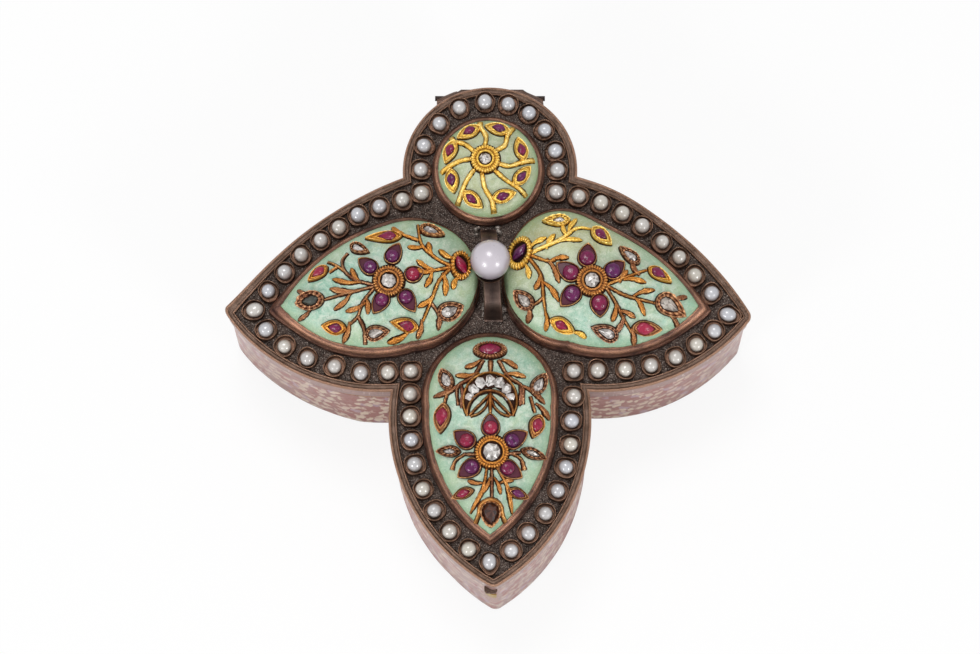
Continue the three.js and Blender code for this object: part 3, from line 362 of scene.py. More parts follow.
bronze = metal("bronze", "2a2220", "524541", "9a7764", pits=0.09)
bronze_rim = metal("bronze_rim", "453830", "78655a", "b58c74", 1.7, pits=0.16)
copper = metal("copper", "38282a", "845f50", "e8b090", 1.3, pits=0.12)
collet_metal = metal("collet_metal", "35271f", "785949", "f0c0a2", 1.6, pits=0.08)
inside_metal = metal("inside_copper", "5e4030", "8f6750", "c69a78", 0.5)
brass = metal("brass", "6a5228", "a98b4c", "dcc383", 1.2, pits=0.03)
solder_metal = metal("solder", "6a615b", "b5ada6", "dcd6cf", 1.5, pits=0.15)
# Dark metal for painted shadow round the applied work, and for the shaded catch frame and window sill
shadow_metal = metal("painted_shadow_edge", "24130f", "3d261e", "5c3c2c", rough=(0.5, 0.7), pits=0.04)
brushed = brushed_look()
gilt, green, ground = gilt_look(), green_look(), ground_look()
pink, pale_pink = pink_look(), skirt_look()
# The first colour given to each pearl look is its painted shade
seed_pearl = pearl_look("seed_pearl", "6a625d", "b5b1af", "d0cdcb", 0.3, 0.11)
great_pearl = pearl_look("great_pearl", "857b86", "c0b9c1", "c6bfc6", 0.5, 0.25)
ruby, diamond = ruby_look(), diamond_look()


# Meshes
def linked(name, data):
    thing = bpy.data.objects.new(name, data)
    bpy.context.scene.collection.objects.link(thing)
    return thing


def mesh_of(name, points, faces):
    mesh = bpy.data.meshes.new(name)
    mesh.from_pydata((np.asarray(points, float) * MM).tolist(), [], faces)
    return mesh


class Work:
    """Points and faces of one piece, with three marks for its material at each point"""

    def __init__(self):
        self.points, self.marks, self.flow, self.faces, self.kinds = [], [], [], [], []
        self.count = 0

    def add(self, points, faces, marks=(0, 0, 0), flow=None):
        points = np.asarray(points, float).reshape(-1, 3)
        self.points.append(points)
        self.marks.append(np.broadcast_to(np.asarray(marks, float), points.shape))
        self.flow.append(np.zeros(points.shape) if flow is None else flow)
        self.faces += [tuple(i + self.count for i in face) for face in faces]
        self.count += len(points)

    def grid(self, rows, marks=(0, 0, 0), around=True, over=False, flow=None, caps=""):
        """Rows of points in a grid, closed around each row, and over from the last row to the first"""
        rows = np.asarray(rows, float)
        height, width = rows.shape[:2]
        marks = np.broadcast_to(np.asarray(marks, float), rows.shape).reshape(-1, 3)
        faces = []
        for r in range(height if over else height - 1):
            below, above = r * width, (r + 1) % height * width
            for c in range(width if around else width - 1):
                d = (c + 1) % width
                faces.append((below + c, below + d, above + d, above + c))
        if "first" in caps:
            faces.append(tuple(range(width))[::-1])
        if "last" in caps:
            faces.append(tuple(range((height - 1) * width, height * width)))
        self.add(rows, faces, marks, flow)
        return self


def build(name, work, looks, nodes=(), body="lid", crease=38, facets=False):
    mesh = mesh_of(name, np.concatenate(work.points), work.faces)
    for attribute, values in (("mark", work.marks), ("flow", work.flow)):
        layer = mesh.attributes.new(attribute, "FLOAT_VECTOR", "POINT")
        layer.data.foreach_set("vector", np.concatenate(values).astype(np.float32).ravel())
    for look in looks:
        mesh.materials.append(look)
    if work.kinds:
        mesh.polygons.foreach_set("material_index", work.kinds)
    shape = bmesh.new()
    shape.from_mesh(mesh)
    bmesh.ops.recalc_face_normals(shape, faces=shape.faces)
    for face in shape.faces:
        face.smooth = not facets
    for edge in shape.edges:
        edge.smooth = edge.calc_face_angle(0.0) < radians(crease)
    shape.to_mesh(mesh)
    shape.free()
    piece = linked(name, mesh)
    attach(piece, body)
    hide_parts(*nodes)
    return piece


def wave(x, y, z=0.0, scale=1.0):
    """Smooth noise from -1 to 1"""
    return noise.noise(Vector((x * scale, y * scale, z * scale)))


def cut_away(piece, *boxes):
    """Takes boxes out of a closed piece"""
    sides = [(0, 1, 3, 2), (4, 6, 7, 5), (0, 4, 5, 1), (2, 3, 7, 6), (0, 2, 6, 4), (1, 5, 7, 3)]
    for lo, hi in boxes:
        corners = [(x, y, z) for z in (lo[2], hi[2]) for y in (lo[1], hi[1]) for x in (lo[0], hi[0])]
        cutter = linked("cutter", mesh_of("cutter", corners, sides))
        bite = piece.modifiers.new("bite", "BOOLEAN")
        bite.operation, bite.solver, bite.object = "DIFFERENCE", "EXACT", cutter
        bpy.context.view_layer.update()
        cut = bpy.data.meshes.new_from_object(piece.evaluated_get(bpy.context.evaluated_depsgraph_get()))
        piece.modifiers.clear()
        piece.data = cut
        bpy.data.objects.remove(cutter)


# Plan
def arc_of(reach, belly, half, side):
    """Centre and radius of an arc that ends at a reach and bellies out by a half width"""
    r = ((reach - belly) ** 2 + half ** 2) / (2 * half)
    return (belly, side * (half - r)), r


def turned(point, angle):
    c, s = cos(angle), sin(angle)
    return point[0] * c - point[1] * s, point[0] * s + point[1] * c


def circle(count, a=1, b=1):
    return np.array([(a * cos(t), b * sin(t)) for t in np.linspace(0, 2 * pi, count, endpoint=False)])


def heading(a, b):
    return atan2(b[1] - a[1], b[0] - a[0])


def out_from(centre, r, angle):
    return centre[0] + r * cos(angle), centre[1] + r * sin(angle)


def swept(centre, r, a0, a1, count):
    """Even places on an arc that turns left, without its last"""
    a1 += 2 * pi if a1 < a0 else 0
    return [out_from(centre, r, a0 + (a1 - a0) * i / count) for i in range(count)]


def meet(a, b, near):
    """Where two circles cross, on the side of a given point"""
    (ax, ay), ra = a
    (bx, by), rb = b
    gap = hypot(bx - ax, by - ay)
    along = (gap * gap + ra * ra - rb * rb) / (2 * gap)
    off = sqrt(max(ra * ra - along * along, 0))
    ex, ey = (bx - ax) / gap, (by - ay) / gap
    both = [(ax + along * ex + s * off * ey, ay + along * ey - s * off * ex) for s in (1, -1)]
    return min(both, key=lambda p: dist(p, near))


def turned_arcs(reach, back, front, angle):
    return [(turned(centre, angle), r) for centre, r in (arc_of(reach, *back, 1), arc_of(reach, *front, -1))]


right_back, right_front = turned_arcs(SIDE_REACH, SIDE_BACK, SIDE_FRONT, -SIDE_DROOP)
left_back, left_front = [((-c[0], c[1]), r) for c, r in (right_back, right_front)]
front_right, front_left = turned_arcs(FRONT_REACH, FRONT_LEAF, FRONT_LEAF, -pi / 2)
round_lobe = ((0, ROUND_Y), ROUND_R)

# Arcs from the back, round by the left. Each ends in a corner ("in") or a rounded point ("out"), near a
# place, and has a count of points.
LEFT_TIP, FRONT_TIP, RIGHT_TIP = TIPS = (-45, -9), (0, -56), (45, -9)
course = [
    (round_lobe, "in", (-14, 11), 36), (left_back, "out", LEFT_TIP, 80), (left_front, "in", (-17, -20), 84),
    (front_left, "out", FRONT_TIP, 84), (front_right, "in", (17, -20), 84), (right_front, "out", RIGHT_TIP, 84),
    (right_back, "in", (14, 11), 80), (round_lobe, "end", None, 36)]


def plan_outline(inset, point=LID_POINT):
    """The closed outline drawn in by an inset, always with the same count of points"""
    blunt = max(point - inset, 0.05)
    start = top = (0, ROUND_Y + ROUND_R - inset)
    points = []
    for ((centre, r), kind, near, count), ((centre2, r2), *_) in zip(course, course[1:] + course[:1]):
        r, r2 = r - inset, r2 - inset
        if kind == "out":
            bend = meet((centre, r - blunt), (centre2, r2 - blunt), near)
            goal = out_from(centre, r, heading(centre, bend))
        else:
            goal = meet((centre, r), (centre2, r2), near) if kind == "in" else top
        points += swept(centre, r, heading(centre, start), heading(centre, goal), count)
        start = goal
        if kind == "out":
            last = heading(centre2, bend)
            points += swept(bend, blunt, heading(bend, goal), last, 5)
            start = out_from(bend, blunt, last)
    return np.array(points)


def share(values, start, end):
    return np.clip((values - start) / (end - start), 0, 1)


def drift(points, down=0.0):
    """The plan as it came out by hand: the left point turned up a little and the front point off to the
    right. Down runs from 0 at the lid to 1 at the floor, where the sides draw in."""
    x, y = points.T
    left, ahead = share(-x, 14, 45), share(-y, 26, 56) ** 2
    root = np.exp(-((x - 22) / 7) ** 2) * (y > 0)
    bulge = share(-y, 20, 56) * share(y, -56, -44) * share(x, 0, 4)
    hollow = share(-y, 24, 38) * share(y, -56, -44) * share(-x, 0, 4)
    dx = (0.65 + 0.4 * down) * ahead - 0.75 * left ** 8 + down * (0.6 * bulge + 0.45 * hollow)
    dy = 1.35 * left ** 14 - 0.4 * np.sin(pi * left) * (y - 0.207 * x > 0) + 0.5 * root
    near = np.where(x > 0, 0.15 * share(x, 8, 28), 0.85 * share(x, -40, -23) ** 2 * share(-x, 8, 14))
    return np.column_stack([x + dx, y + dy - down * near - (0.4 + 0.55 * down) * ahead])


def ways(points):
    """Distance from the first of some points to each, along them"""
    return np.concatenate([[0], np.cumsum(np.linalg.norm(np.diff(points, axis=0), axis=1))])


way_round = ways(plan_outline(0))


def moulding(profile, level=0.0, point=LID_POINT, shake=0.0, closed=True, inner=None):
    """A piece that follows the plan. The profile gives inset, height over a level, and wear. From the inner
    row on, the piece takes its second look."""
    rows, marks, flows = [], [], []
    for inset, z, wear in profile:
        z += level
        outline = drift(plan_outline(inset, point), 1 - 0.8 * z / BODY_TOP if point == BODY_POINT else 0.0)
        heights = np.full(len(outline), z)
        row = np.column_stack([outline, heights])
        if shake:
            lean = np.array([wave(s, 0, 0, 0.23) + 0.5 * wave(s, 5, z, 0.9) for s in way_round])
            inward = -outline / np.linalg.norm(outline, axis=1)[:, None]
            row[:, :2] += inward * (shake * (0.7 + 0.7 * lean))[:, None]
        rows.append(row)
        near = np.min([np.hypot(*(outline - tip).T) for tip in TIPS], axis=0)
        marks.append([(wear, far, 0) for far in share(near, 6, 30)])
        flows.append(np.column_stack([way_round, heights, 0 * heights]))
    work = Work().grid(rows, marks, over=closed, flow=np.concatenate(flows), caps="" if closed else "first last")
    if inner:
        work.kinds = [int(i >= inner * len(way_round)) for i in range(len(work.faces))]
    return work


# Body
HINGE_HALF, HINGE_GAP_LOW = high("hinge_body_leaf").x + 0.3, low("hinge_body_leaf").z - 0.3
WINDOW_X, WINDOW_HALF, WINDOW_LOW = 0.15, 1.3, 12.2
FAR = 70

build("base", moulding([
    (3, 0.12, 0), (1.15, 0.05, 0.3), (0.9, 0.15, 0.8), (0.8, 0.4, 0.6), (0.8, BASE_TOP - 0.2, 0.4),
    (0.86, BASE_TOP, 0.3), (3, BASE_TOP, 0)], 0, BODY_POINT, 0.03, closed=False), [bronze], ["base_plate"], body="box")

side = build("side", moulding([
    (0.7, BASE_TOP - 0.9, 0.8), (0.56, BASE_TOP - 0.6, 0.5), (0.55, BASE_TOP, 0), (0.55, 7, 0), (0.55, 13, 0),
    (0.55, BODY_TOP - 0.7, 0), (0.56, BODY_TOP - 0.25, 0.8), (0.66, BODY_TOP, 1), (1.85, BODY_TOP, 0.8),
    (1.95, BODY_TOP - 0.15, 0.3), (1.95, 10, 0), (1.95, BASE_TOP - 0.9, 0)], 0, BODY_POINT, 0.04, inner=6),
    [pink, inside_metal], ["side_wall"], "box")
cut_away(side, ((WINDOW_X - WINDOW_HALF, -FAR, WINDOW_LOW), (WINDOW_X + WINDOW_HALF, -38.7, BODY_TOP + 1)),
         ((-HINGE_HALF, ROUND_Y, HINGE_GAP_LOW), (HINGE_HALF, FAR, BODY_TOP + 1)))

liner_low, liner_high = low("inner_liner").z, high("inner_liner").z
cut_away(build("upstand", moulding([
    (2.25, liner_low, 0.3), (2.25, liner_high - 0.35, 0.5), (2.34, liner_high - 0.1, 1), (2.5, liner_high, 1),
    (2.7, liner_high, 1), (2.84, liner_high - 0.15, 0.7), (2.85, liner_low, 0.2)], shake=0.03),
    [inside_metal], ["inner_liner"], "box"), ((-3.7, -FAR, 0), (3.7, -47.35, FAR)))

# Lid
build("ground_plate", moulding([
    (4, PLATE_BOTTOM, 0), (0.4, PLATE_BOTTOM, 0), (0.35, PLATE_TOP - 0.1, 0.4), (0.5, PLATE_TOP, 0),
    (4, PLATE_TOP, 0)], closed=False), [ground], ["lid_plate"])

cut_away(build("skirt_band", moulding([
    (0.42, SKIRT_BOTTOM, 1), (0.35, SKIRT_BOTTOM + 0.12, 1), (0.35, SKIRT_BOTTOM + 0.45, 0.15), (0.35, 22, 0),
    (0.35, PLATE_BOTTOM - 0.5, 0.1), (0.36, PLATE_BOTTOM - 0.1, 1), (0.45, PLATE_BOTTOM, 1),
    (1.35, PLATE_BOTTOM, 0), (1.35, 22, 0), (1.35, SKIRT_BOTTOM, 0.4)], shake=0.03, inner=6),
    [pale_pink, inside_metal], ["lid_skirt"]), ((-HINGE_HALF, ROUND_Y, 0), (HINGE_HALF, FAR, FAR)))

# Catch window: its edge and sill in the body, and the lid's lip above it. The sill is dark metal, painted shade in the
# window
tip_line = drift(plan_outline(0.5, BODY_POINT), 0.5)
tip_line = tip_line[(np.abs(tip_line[:, 0]) < 4) & (tip_line[:, 1] < -40)]
tip_line = tip_line[np.argsort(tip_line[:, 0])]
xs = np.linspace(-0.82, 1.12, 9)
front_line = list(zip(xs, np.interp(xs, *tip_line.T)))
for name, look, start, end, top in (
        ("window_edge", brass, -0.04, 0.4, 2.9), ("window_sill", shadow_metal, 0.4, 2.1, 0.3)):
    plate = [(x, y + start) for x, y in front_line] + [(x, y + end) for x, y in front_line[::-1]]
    build(name, Work().grid([[(x, y, WINDOW_LOW + z) for x, y in plate] for z in (-0.1, top)], (0.5, 0, 0),
                            caps="first last"), [look], (), "box")

LIP = (-1.1, -54.9), (1.1, -54.9), (1.1, -56.0), (0.8, -56.35), (-0.8, -56.35), (-1.1, -56.0)
build("skirt_lip", Work().grid([[(WINDOW_X + x * (1 - inset), y + inset * (y < -55.5), z) for x, y in LIP]
                                for inset, z in ((0.1, 19.7), (0, 19.8), (0, 20.2), (0.1, 20.3))],
                               (0.3, 0, 0), caps="first last"), [bronze], ["lid_skirt"])

# Underside and rim of the lid
cut_away(build("under_sheet", moulding([
    (4, -0.02, 0), (1.7, -0.02, 0), (1.65, -0.5, 0.6), (1.8, -0.6, 0.6), (4, -0.6, 0)], PLATE_BOTTOM, closed=False),
    [inside_metal], ["lid_lining"]), ((-1.3, -FAR, 0), (1.3, high("catch_tongue").y + 0.3, FAR)))

build("rim", moulding([
    (0.4, 0, 0), (0.14, 0.12, 0.2), (0.0, 0.34, 0.8), (0.03, 0.6, 1), (0.15, 0.84, 1), (0.32, 0.93, 0.9),
    (0.46, 0.84, 0.5), (0.56, 0.68, 0.1), (0.68, 0.66, 0.15), (0.84, 0.72, 0.25), (1.0, 0.68, 0.15),
    (1.1, 0.6, 0.05), (1.18, 0.68, 0.6), (1.29, 0.72, 0.9), (1.4, 0.62, 0.7), (1.45, 0.4, 0.1), (1.45, 0, 0)],
    PLATE_TOP, shake=0.03), [bronze_rim], ["lid_rim"], crease=60)


# Domes
class Almond:
    """A round end behind and two arcs that meet in a point ahead. Angles start at the point."""

    def __init__(self, tip, end, left, right, swell=(0, 0, 1)):
        self.swell = swell
        self.arcs = arc_of(tip, *left, 1), arc_of(tip, *right, -1)
        self.widths = [sqrt(r * r - x * x) - abs(y) for (x, y), r in self.arcs]
        mean = sum(self.widths) / 2
        self.back = (end * end - mean * mean) / (2 * end)

    def edge(self, angle, inset=0.0):
        """How far the edge lies at an angle, with a swelling round one angle where the dome has one"""
        where, amount, spread = self.swell
        off = remainder(angle - where, 2 * pi) / spread
        return self.arc_edge(angle, inset) + amount * exp(-off * off)

    def arc_edge(self, angle, inset):
        c, s = cos(angle), sin(angle)
        if c < 0:
            width = self.widths[0] * (1 + s) / 2 + self.widths[1] * (1 - s) / 2
            r = hypot(width, self.back) - inset
            return -self.back * c + sqrt(r * r - (self.back * s) ** 2)
        (x, y), r = self.arcs[1 if s < 0 else 0]
        along = x * c + y * s
        return along + sqrt(along * along - x * x - y * y + (r - inset) ** 2)

    def angles(self, step=0.45):
        """Angles from the point round by the left, with even steps along the edge"""
        dense = np.linspace(0, 2 * pi, 2001)
        length = ways([out_from((0, 0), self.edge(a - 1e-9 if a > pi else a + 1e-9), a) for a in dense])
        count = int(length[-1] / step)
        return np.interp(np.arange(count) / count * length[-1], length, dense)


class Dome:
    """A crown over an almond, and the place of its group on the lid"""

    def __init__(self, form, wall, rise, bulge, angle, distance, off=0.0, warmth=(0.1, 0, 0), band=0.4):
        self.form, self.wall, self.rise, self.bulge, self.angle = form, wall, rise, bulge, angle
        self.warmth, self.band = warmth, band
        self.place = turned((distance, off), angle)

    def crown(self, angle, k):
        lift = (1 - min(k, 1) ** FULLNESS) ** (1 / FULLNESS)
        lean = self.bulge * max(0, -cos(angle)) ** 2 * sin(pi * lift ** 0.6)
        r = self.form.edge(angle, DOME_INSET) * k + lean
        return np.array([r * cos(angle), r * sin(angle), self.wall + self.rise * lift])

    def local(self, x, y):
        angle = atan2(y, x)
        return self.crown(angle, min(hypot(x, y) / self.form.edge(angle, DOME_INSET), 0.985))

    def placed(self, p):
        x, y = turned(p, self.angle)
        return self.place[0] + x, self.place[1] + y, PLATE_TOP + p[2]

    def at(self, x, y, h):
        """A point so far above the crown, over a place on its flat drawing"""
        p = self.local(x, y)
        normal = np.cross(self.local(x + 0.02, y) - p, self.local(x, y + 0.02) - p)
        return self.placed(p + normal / np.linalg.norm(normal) * h)


domes = {
    "left": Dome(Almond(22.1, 13.5, ALMOND_FRONT, ALMOND_BACK, (pi, 0.45, 0.6)), 1.8, 5.2, 0.9, pi + SIDE_DROOP,
                 16, 0.5, (0.15, -0.02, 0)),
    "right": Dome(Almond(22.1, 13.5, ALMOND_BACK, ALMOND_FRONT, (2.2, 1.9, 0.65)), 1.8, 5.2, 0.9, -SIDE_DROOP,
                  16, -0.5, (0.42, -0.035, 0.05)),
    "front": Dome(Almond(23.6, 13.4, ALMOND_LONG, ALMOND_LONG), 1.8, 4.6, 0, -pi / 2, 25.5),
    "round": Dome(Almond(MEDALLION_R, MEDALLION_R, (0, MEDALLION_R), (0, MEDALLION_R)), 1.3, 3.6, 0, pi / 2,
                  ROUND_Y, 0.3, (0.75, 0, 0), 0.16),
}


def crown_work(dome, seed):
    """The enamel: a crown with slight hollows, and a wall down to the lid"""
    angles = dome.form.angles()
    rows = [[dome.placed(dome.crown(a, 1) * (1, 1, 0) + (0, 0, z)) for a in angles] for z in (0.0, dome.wall * 0.6)]
    marks = [[(1, 0, 0)] * len(angles)] * 2
    for k in 1 - (1 - np.linspace(1, 0, 40)[:-1]) ** 1.9:
        row, tone = [], []
        for a in angles:
            p = dome.crown(a, k)
            p[2] += 0.09 * wave(p[0], p[1], seed, 0.22) * (1 - k ** 6) + 0.03 * wave(p[0], p[1], seed, 0.8) - 0.05
            row.append(dome.placed(p))
            warm = dome.warmth[0] + dome.warmth[1] * p[0] + dome.warmth[2] * p[1]
            tone.append((max(0.0, (k - 0.75) / 0.25) ** 1.5, min(max(warm, 0.0), 1.0), 0))
        rows.append(row)
        marks.append(tone)
    return Work().grid(rows, marks, caps="first last")


def bezel_work(dome, seed):
    """A rubbed-over setting: a band that climbs the dome's foot, with an uneven, notched inner edge"""
    angles, wide = dome.form.angles(0.3), dome.band
    profile = [(0.0, 0.0, 0), (0.0, 0.3, 0), (0.08, 0.45, 0.3), (0.28, 0.5, 0.1), (0.36, 0.62, 0.5), (0.5, 0.84, 1),
               (0.7, 0.95, 0.8), (0.85, 0.98, 0.3)]
    profile += [(DOME_INSET + wide * climb, height, wear) for climb, height, wear in (
        (0.18, 0.34, 0.25), (0.5, 0.3, 0.9), (0.8, 0.16, 0.6), (1.0, -0.15, 0.0))]
    rows, marks = [], []
    for inset, height, wear in profile:
        row = []
        for j, a in enumerate(angles):
            lean = 0.05 * wave(j * 0.3, seed, 7, 0.3)
            notch = 0.2 * max(0, wave(j * 0.3, seed, 0, 0.8)) + 0.16 * wave(j * 0.3, seed, 3, 1.9)
            angle = a + (1e-9 if a < pi else -1e-9)
            reach = dome.form.edge(angle, DOME_INSET)
            if inset > DOME_INSET:
                climb = inset - DOME_INSET + (notch * wide if inset > DOME_INSET + 0.7 * wide else 0)
                row.append(dome.placed(dome.crown(angle, 1 - climb / reach) + (0, 0, height + 0.3 * lean)))
            else:
                foot = dome.crown(angle, 1 - 0.18 * wide / reach)[2] + 0.3
                r = dome.form.edge(angle, inset + max(lean, 0))
                if abs(cos(dome.angle)) > 0.5:
                    r += 0.8 * max(0, cos(a)) ** 90 * (1 - inset / DOME_INSET)
                row.append(dome.placed((r * cos(a), r * sin(a), foot * height)))
        rows.append(row)
        marks.append([(wear * (0.65 + 0.9 * wave(j * 0.3, seed, 9, 0.2)), 0, 0) for j in range(len(angles))])
    return Work().grid(rows, marks, over=True)


# Applied work on a dome
def smooth_path(points, step=0.22):
    """A path through points, bent smoothly"""
    points = [np.array(p, float) for p in points]
    if len(points) == 2:
        return np.linspace(*points, max(4, int(dist(*points) / step)))
    ends = [2 * points[0] - points[1], *points, 2 * points[-1] - points[-2]]
    out = []
    for a, b, c, d in zip(ends, ends[1:], ends[2:], ends[3:]):
        count = max(2, int(dist(b, c) / step))
        for t in np.arange(count) / count:
            out.append(0.5 * (2 * b + (c - a) * t + (2 * a - 5 * b + 4 * c - d) * t * t
                              + (3 * b - a - 3 * c + d) * t ** 3))
    return np.array([*out, points[-1]])


# Sections of a stroke: across, up and wear. On gilt work the wear stands for height, with painted shade low and a
# painted highlight high
RIDGE = [(-1, -0.2, 0), (-0.95, 0.3, 0.25), (-0.62, 0.78, 0.7), (0, 1, 1), (0.62, 0.78, 0.7), (0.95, 0.3, 0.25),
         (1, -0.2, 0)]
CLUB = [(-1, -0.2, 0), (-0.96, 0.45, 0.4), (-0.72, 0.85, 0.9), (-0.3, 0.95, 0.7), (0, 0.85, 0.5),
        (0.3, 0.95, 0.7), (0.72, 0.85, 0.9), (0.96, 0.45, 0.4), (1, -0.2, 0)]
FLAT = [(-1, -0.2, 0), (-0.9, 0.9, 0.1), (0, 1, 0.1), (0.9, 0.9, 0.1), (1, -0.2, 0)]

# The foot of painted shadow around a mount: scale or distance, height and wear
FOOT = [(1.16, -0.2, 0), (1.13, 0.12, 0), (1.0, 0.14, 0)]


def along(path):
    way = np.gradient(path, axis=0)
    return way / (np.linalg.norm(way, axis=1)[:, None] + 1e-9)


def stroke(work, dome, path, widths, height, hue, section=RIDGE):
    """A raised line along a path. Widths are given at even places along it."""
    path = np.asarray(path)
    steps = np.linspace(0, 1, len(path))
    wide = np.interp(steps, np.linspace(0, 1, len(widths)), widths) / 2
    rows, marks = [], []
    for p, d, w, s in zip(path, along(path), wide, steps):
        sag = min(1.0, 0.35 + 6 * min(s, 1 - s))
        w *= 1 + 0.3 * wave(p[0], p[1], height, 2.4)
        rows.append([dome.at(p[0] - d[1] * u * w, p[1] + d[0] * u * w, h * height * sag if h > 0 else h)
                     for u, h, _ in section])
        marks.append([(m * (0.85 + 0.3 * wave(p[0], p[1], 2, 0.7)), hue, 0.5) for _, _, m in section])
    work.grid(rows, marks, around=False)


class Spray:
    """The metal, its painted shadow edges and stones on one dome"""

    def __init__(self, dome):
        self.dome = dome
        self.metal, self.edge, self.rubies, self.diamonds = Work(), Work(), Work(), Work()

    def stem(self, points, hue=0.5, width=0.55, end=0.4, height=0.5):
        path = smooth_path(points)
        rim = 0.32 - 0.2 * hue
        stroke(self.metal, self.dome, path, [width, width, end], height, hue)
        # The dark stroke beneath, wider by rim, is painted shadow
        stroke(self.edge, self.dome, path, [width + rim, width + rim, end + rim], 0.12, 0, FLAT)

    def leaf(self, start, tip, hue, width=1.0, bend=0.08):
        a, b = np.array(start), np.array(tip)
        a = a - (b - a) / dist(a, b) * 0.5
        side = np.array([a[1] - b[1], b[0] - a[0]]) * bend
        path = smooth_path([a, a * 0.55 + b * 0.45 + side, b])
        widths = np.array([0.36, 0.42, 0.56, 0.74, 0.9, 0.92, 0.7, 0.16]) * width
        stroke(self.metal, self.dome, path, widths, 0.5, hue, CLUB)
        # The wider dark stroke beneath is painted shadow
        stroke(self.edge, self.dome, path, widths + 0.34 - 0.2 * hue, 0.12, 0, FLAT)

    def pod(self, centre, tip, back, half, sharp):
        """Outline of a mount: pointed at its tip, and round or pointed behind"""
        centre, tip = np.array(centre), np.array(tip)
        reach = dist(centre, tip)
        d = (tip - centre) / reach
        n = np.array([-d[1], d[0]])
        return centre, np.array([d * c * (reach if c > 0 else back) + n * half * s * abs(s) ** sharp[0 if c > 0 else 1]
                                 for c, s in circle(44)])

    def over(self, centre, shape, heights):
        """Points at heights over a shape around a centre"""
        heights = np.broadcast_to(heights, len(shape))
        return [self.dome.at(centre[0] + x, centre[1] + y, h) for (x, y), h in zip(shape, heights)]

    def rings(self, work, centre, shape, profile, hue=0, cap=False, beads=0):
        """Rings of one outline at scales, or distances beyond 1, and heights, with wear, which gilt work shows as
        painted shade and highlight
        """
        rows, marks = [], []
        outward = shape / np.linalg.norm(shape, axis=1)[:, None]
        for scale, h, wear in profile:
            teeth = 0.09 * np.cos(np.arange(len(shape)) * beads) * (beads > 0 and h > 0.2)
            rows.append(self.over(centre, shape * min(scale, 1) + outward * max(scale - 1, 0), h + teeth))
            marks.append([(wear + 4 * tooth, hue, 0.5) for tooth in teeth])
        work.grid(rows, marks, caps="last" if cap else "")

    def mount(self, centre, tip, stone, hue, back, half, sharp, cast, size, wall=0.78):
        """A thin-walled setting with a dark floor and its stone, on a foot of painted shadow"""
        centre, shape = self.pod(centre, tip, back, half * (0.84 if sharp[1] > 0 else 1), sharp)
        size *= 0.88
        self.rings(self.edge, centre, shape, FOOT)
        self.rings(self.metal, centre, shape, [
            (1.04, -0.1, 0.1), (1.02, 0.3, 0.3), (1.0, wall * 0.8, 0.7), (0.95, wall, 1), (0.88, wall * 0.9, 0.7),
            (0.84, wall * 0.72, 0.2), (size * 1.2, wall * 0.84, 0.7), (size * 1.1, wall * 0.84, 0.8),
            (size * 1.02, wall * 0.6, 0.1), (size, 0.3, 0)], hue, beads=1.9 if stone == "diamond" else 0)
        self.rings(self.edge, centre, shape, [(size * 1.03, 0.34, 0), (0.3, 0.36, 0)], cap=True)
        (self.cabochon if stone == "ruby" else self.rose)(centre, shape * size, cast)

    def cabochon(self, centre, shape, cast, height=0.85, floor=0.3):
        """A polished stone over an outline"""
        shape = shape * 0.75 + shape / np.linalg.norm(shape, axis=1)[:, None] * 0.25 * np.abs(shape).max()
        rows, marks = [], []
        for k, lift in ((1.0, 0.0), (0.98, 0.3), (0.9, 0.58), (0.75, 0.8), (0.5, 0.94), (0.22, 1.0)):
            rows.append(self.over(centre, shape * k, floor + height * lift))
            # Mark 0 rises towards the rim, where the ruby takes painted shade
            marks.append([(max(0.0, (k - 0.72) / 0.28) * 0.8, cast, 0.5)] * len(shape))
        self.rubies.grid(rows, marks, caps="last")

    def rose(self, centre, shape, cast, height=0.5, floor=0.42, sides=8):
        """A rose-cut stone: flat facets in two rows and a small top"""
        pick = [int((i + chance.uniform(-0.2, 0.2)) * len(shape) / sides) % len(shape) for i in range(sides)]
        outer = [shape[i] * chance.uniform(0.92, 1.04) for i in pick]
        inner = [(a + b) / 2 * chance.uniform(0.5, 0.64) for a, b in zip(outer, outer[1:] + outer[:1])]
        foot, ring = self.over(centre, outer, floor - 0.25), self.over(centre, outer, floor)
        upper = self.over(centre, inner, [floor + height * chance.uniform(0.75, 0.9) for _ in inner])
        top, = self.over(centre, [(chance.uniform(-0.1, 0.1), chance.uniform(-0.1, 0.1))], floor + height)
        for i in range(sides):
            j = (i + 1) % sides
            for facet in ((foot[i], foot[j], ring[j], ring[i]), (ring[i], ring[j], upper[i]),
                          (ring[j], upper[j], upper[i]), (upper[i], upper[j], top)):
                # Mark 2 gives each facet a chance grey, its painted reflection
                self.diamonds.add(facet, [tuple(range(len(facet)))], (0.0, cast, chance.random()))

    def flower(self, centre, hue, outer=2.6, inner=1.42, stone=1.25, teeth=32, cast=0.15):
        """A serrated ring around a diamond"""
        disc = circle(teeth * 6)
        rows, marks = [], []
        # On the gilt, the wear column gives painted highlight where high and painted shade where low
        for i, (r, h, wear) in enumerate([
                (outer + 0.15, -0.2, 0), (outer + 0.03, 0.4, 0.2), (outer - 0.08, 0.75, 1), (outer - 0.3, 0.88, 0.9),
                (outer - 0.5, 0.8, 0.5), (inner + 0.4, 0.78, 0.1), (inner + 0.25, 0.9, 0.8), (inner + 0.05, 0.84, 0.8),
                (inner - 0.03, 0.5, 0.05), (inner - 0.05, 0.28, 0)]):
            tooth = np.cos(np.arange(len(disc)) / 6 * 2 * pi) * (1 if 0 < i < 5 else 0.1)
            reach = r + 0.07 * tooth * (i < 4)
            rows.append(self.over(centre, disc * reach[:, None], h + 0.08 * tooth * (h > 0)))
            marks.append([(wear * (0.7 + 0.3 * t), hue, 0.5) for t in tooth])
        self.metal.grid(rows, marks)
        self.rings(self.edge, centre, circle(40, inner, inner), [(1.0, 0.34, 0), (0.4, 0.36, 0)], cap=True)
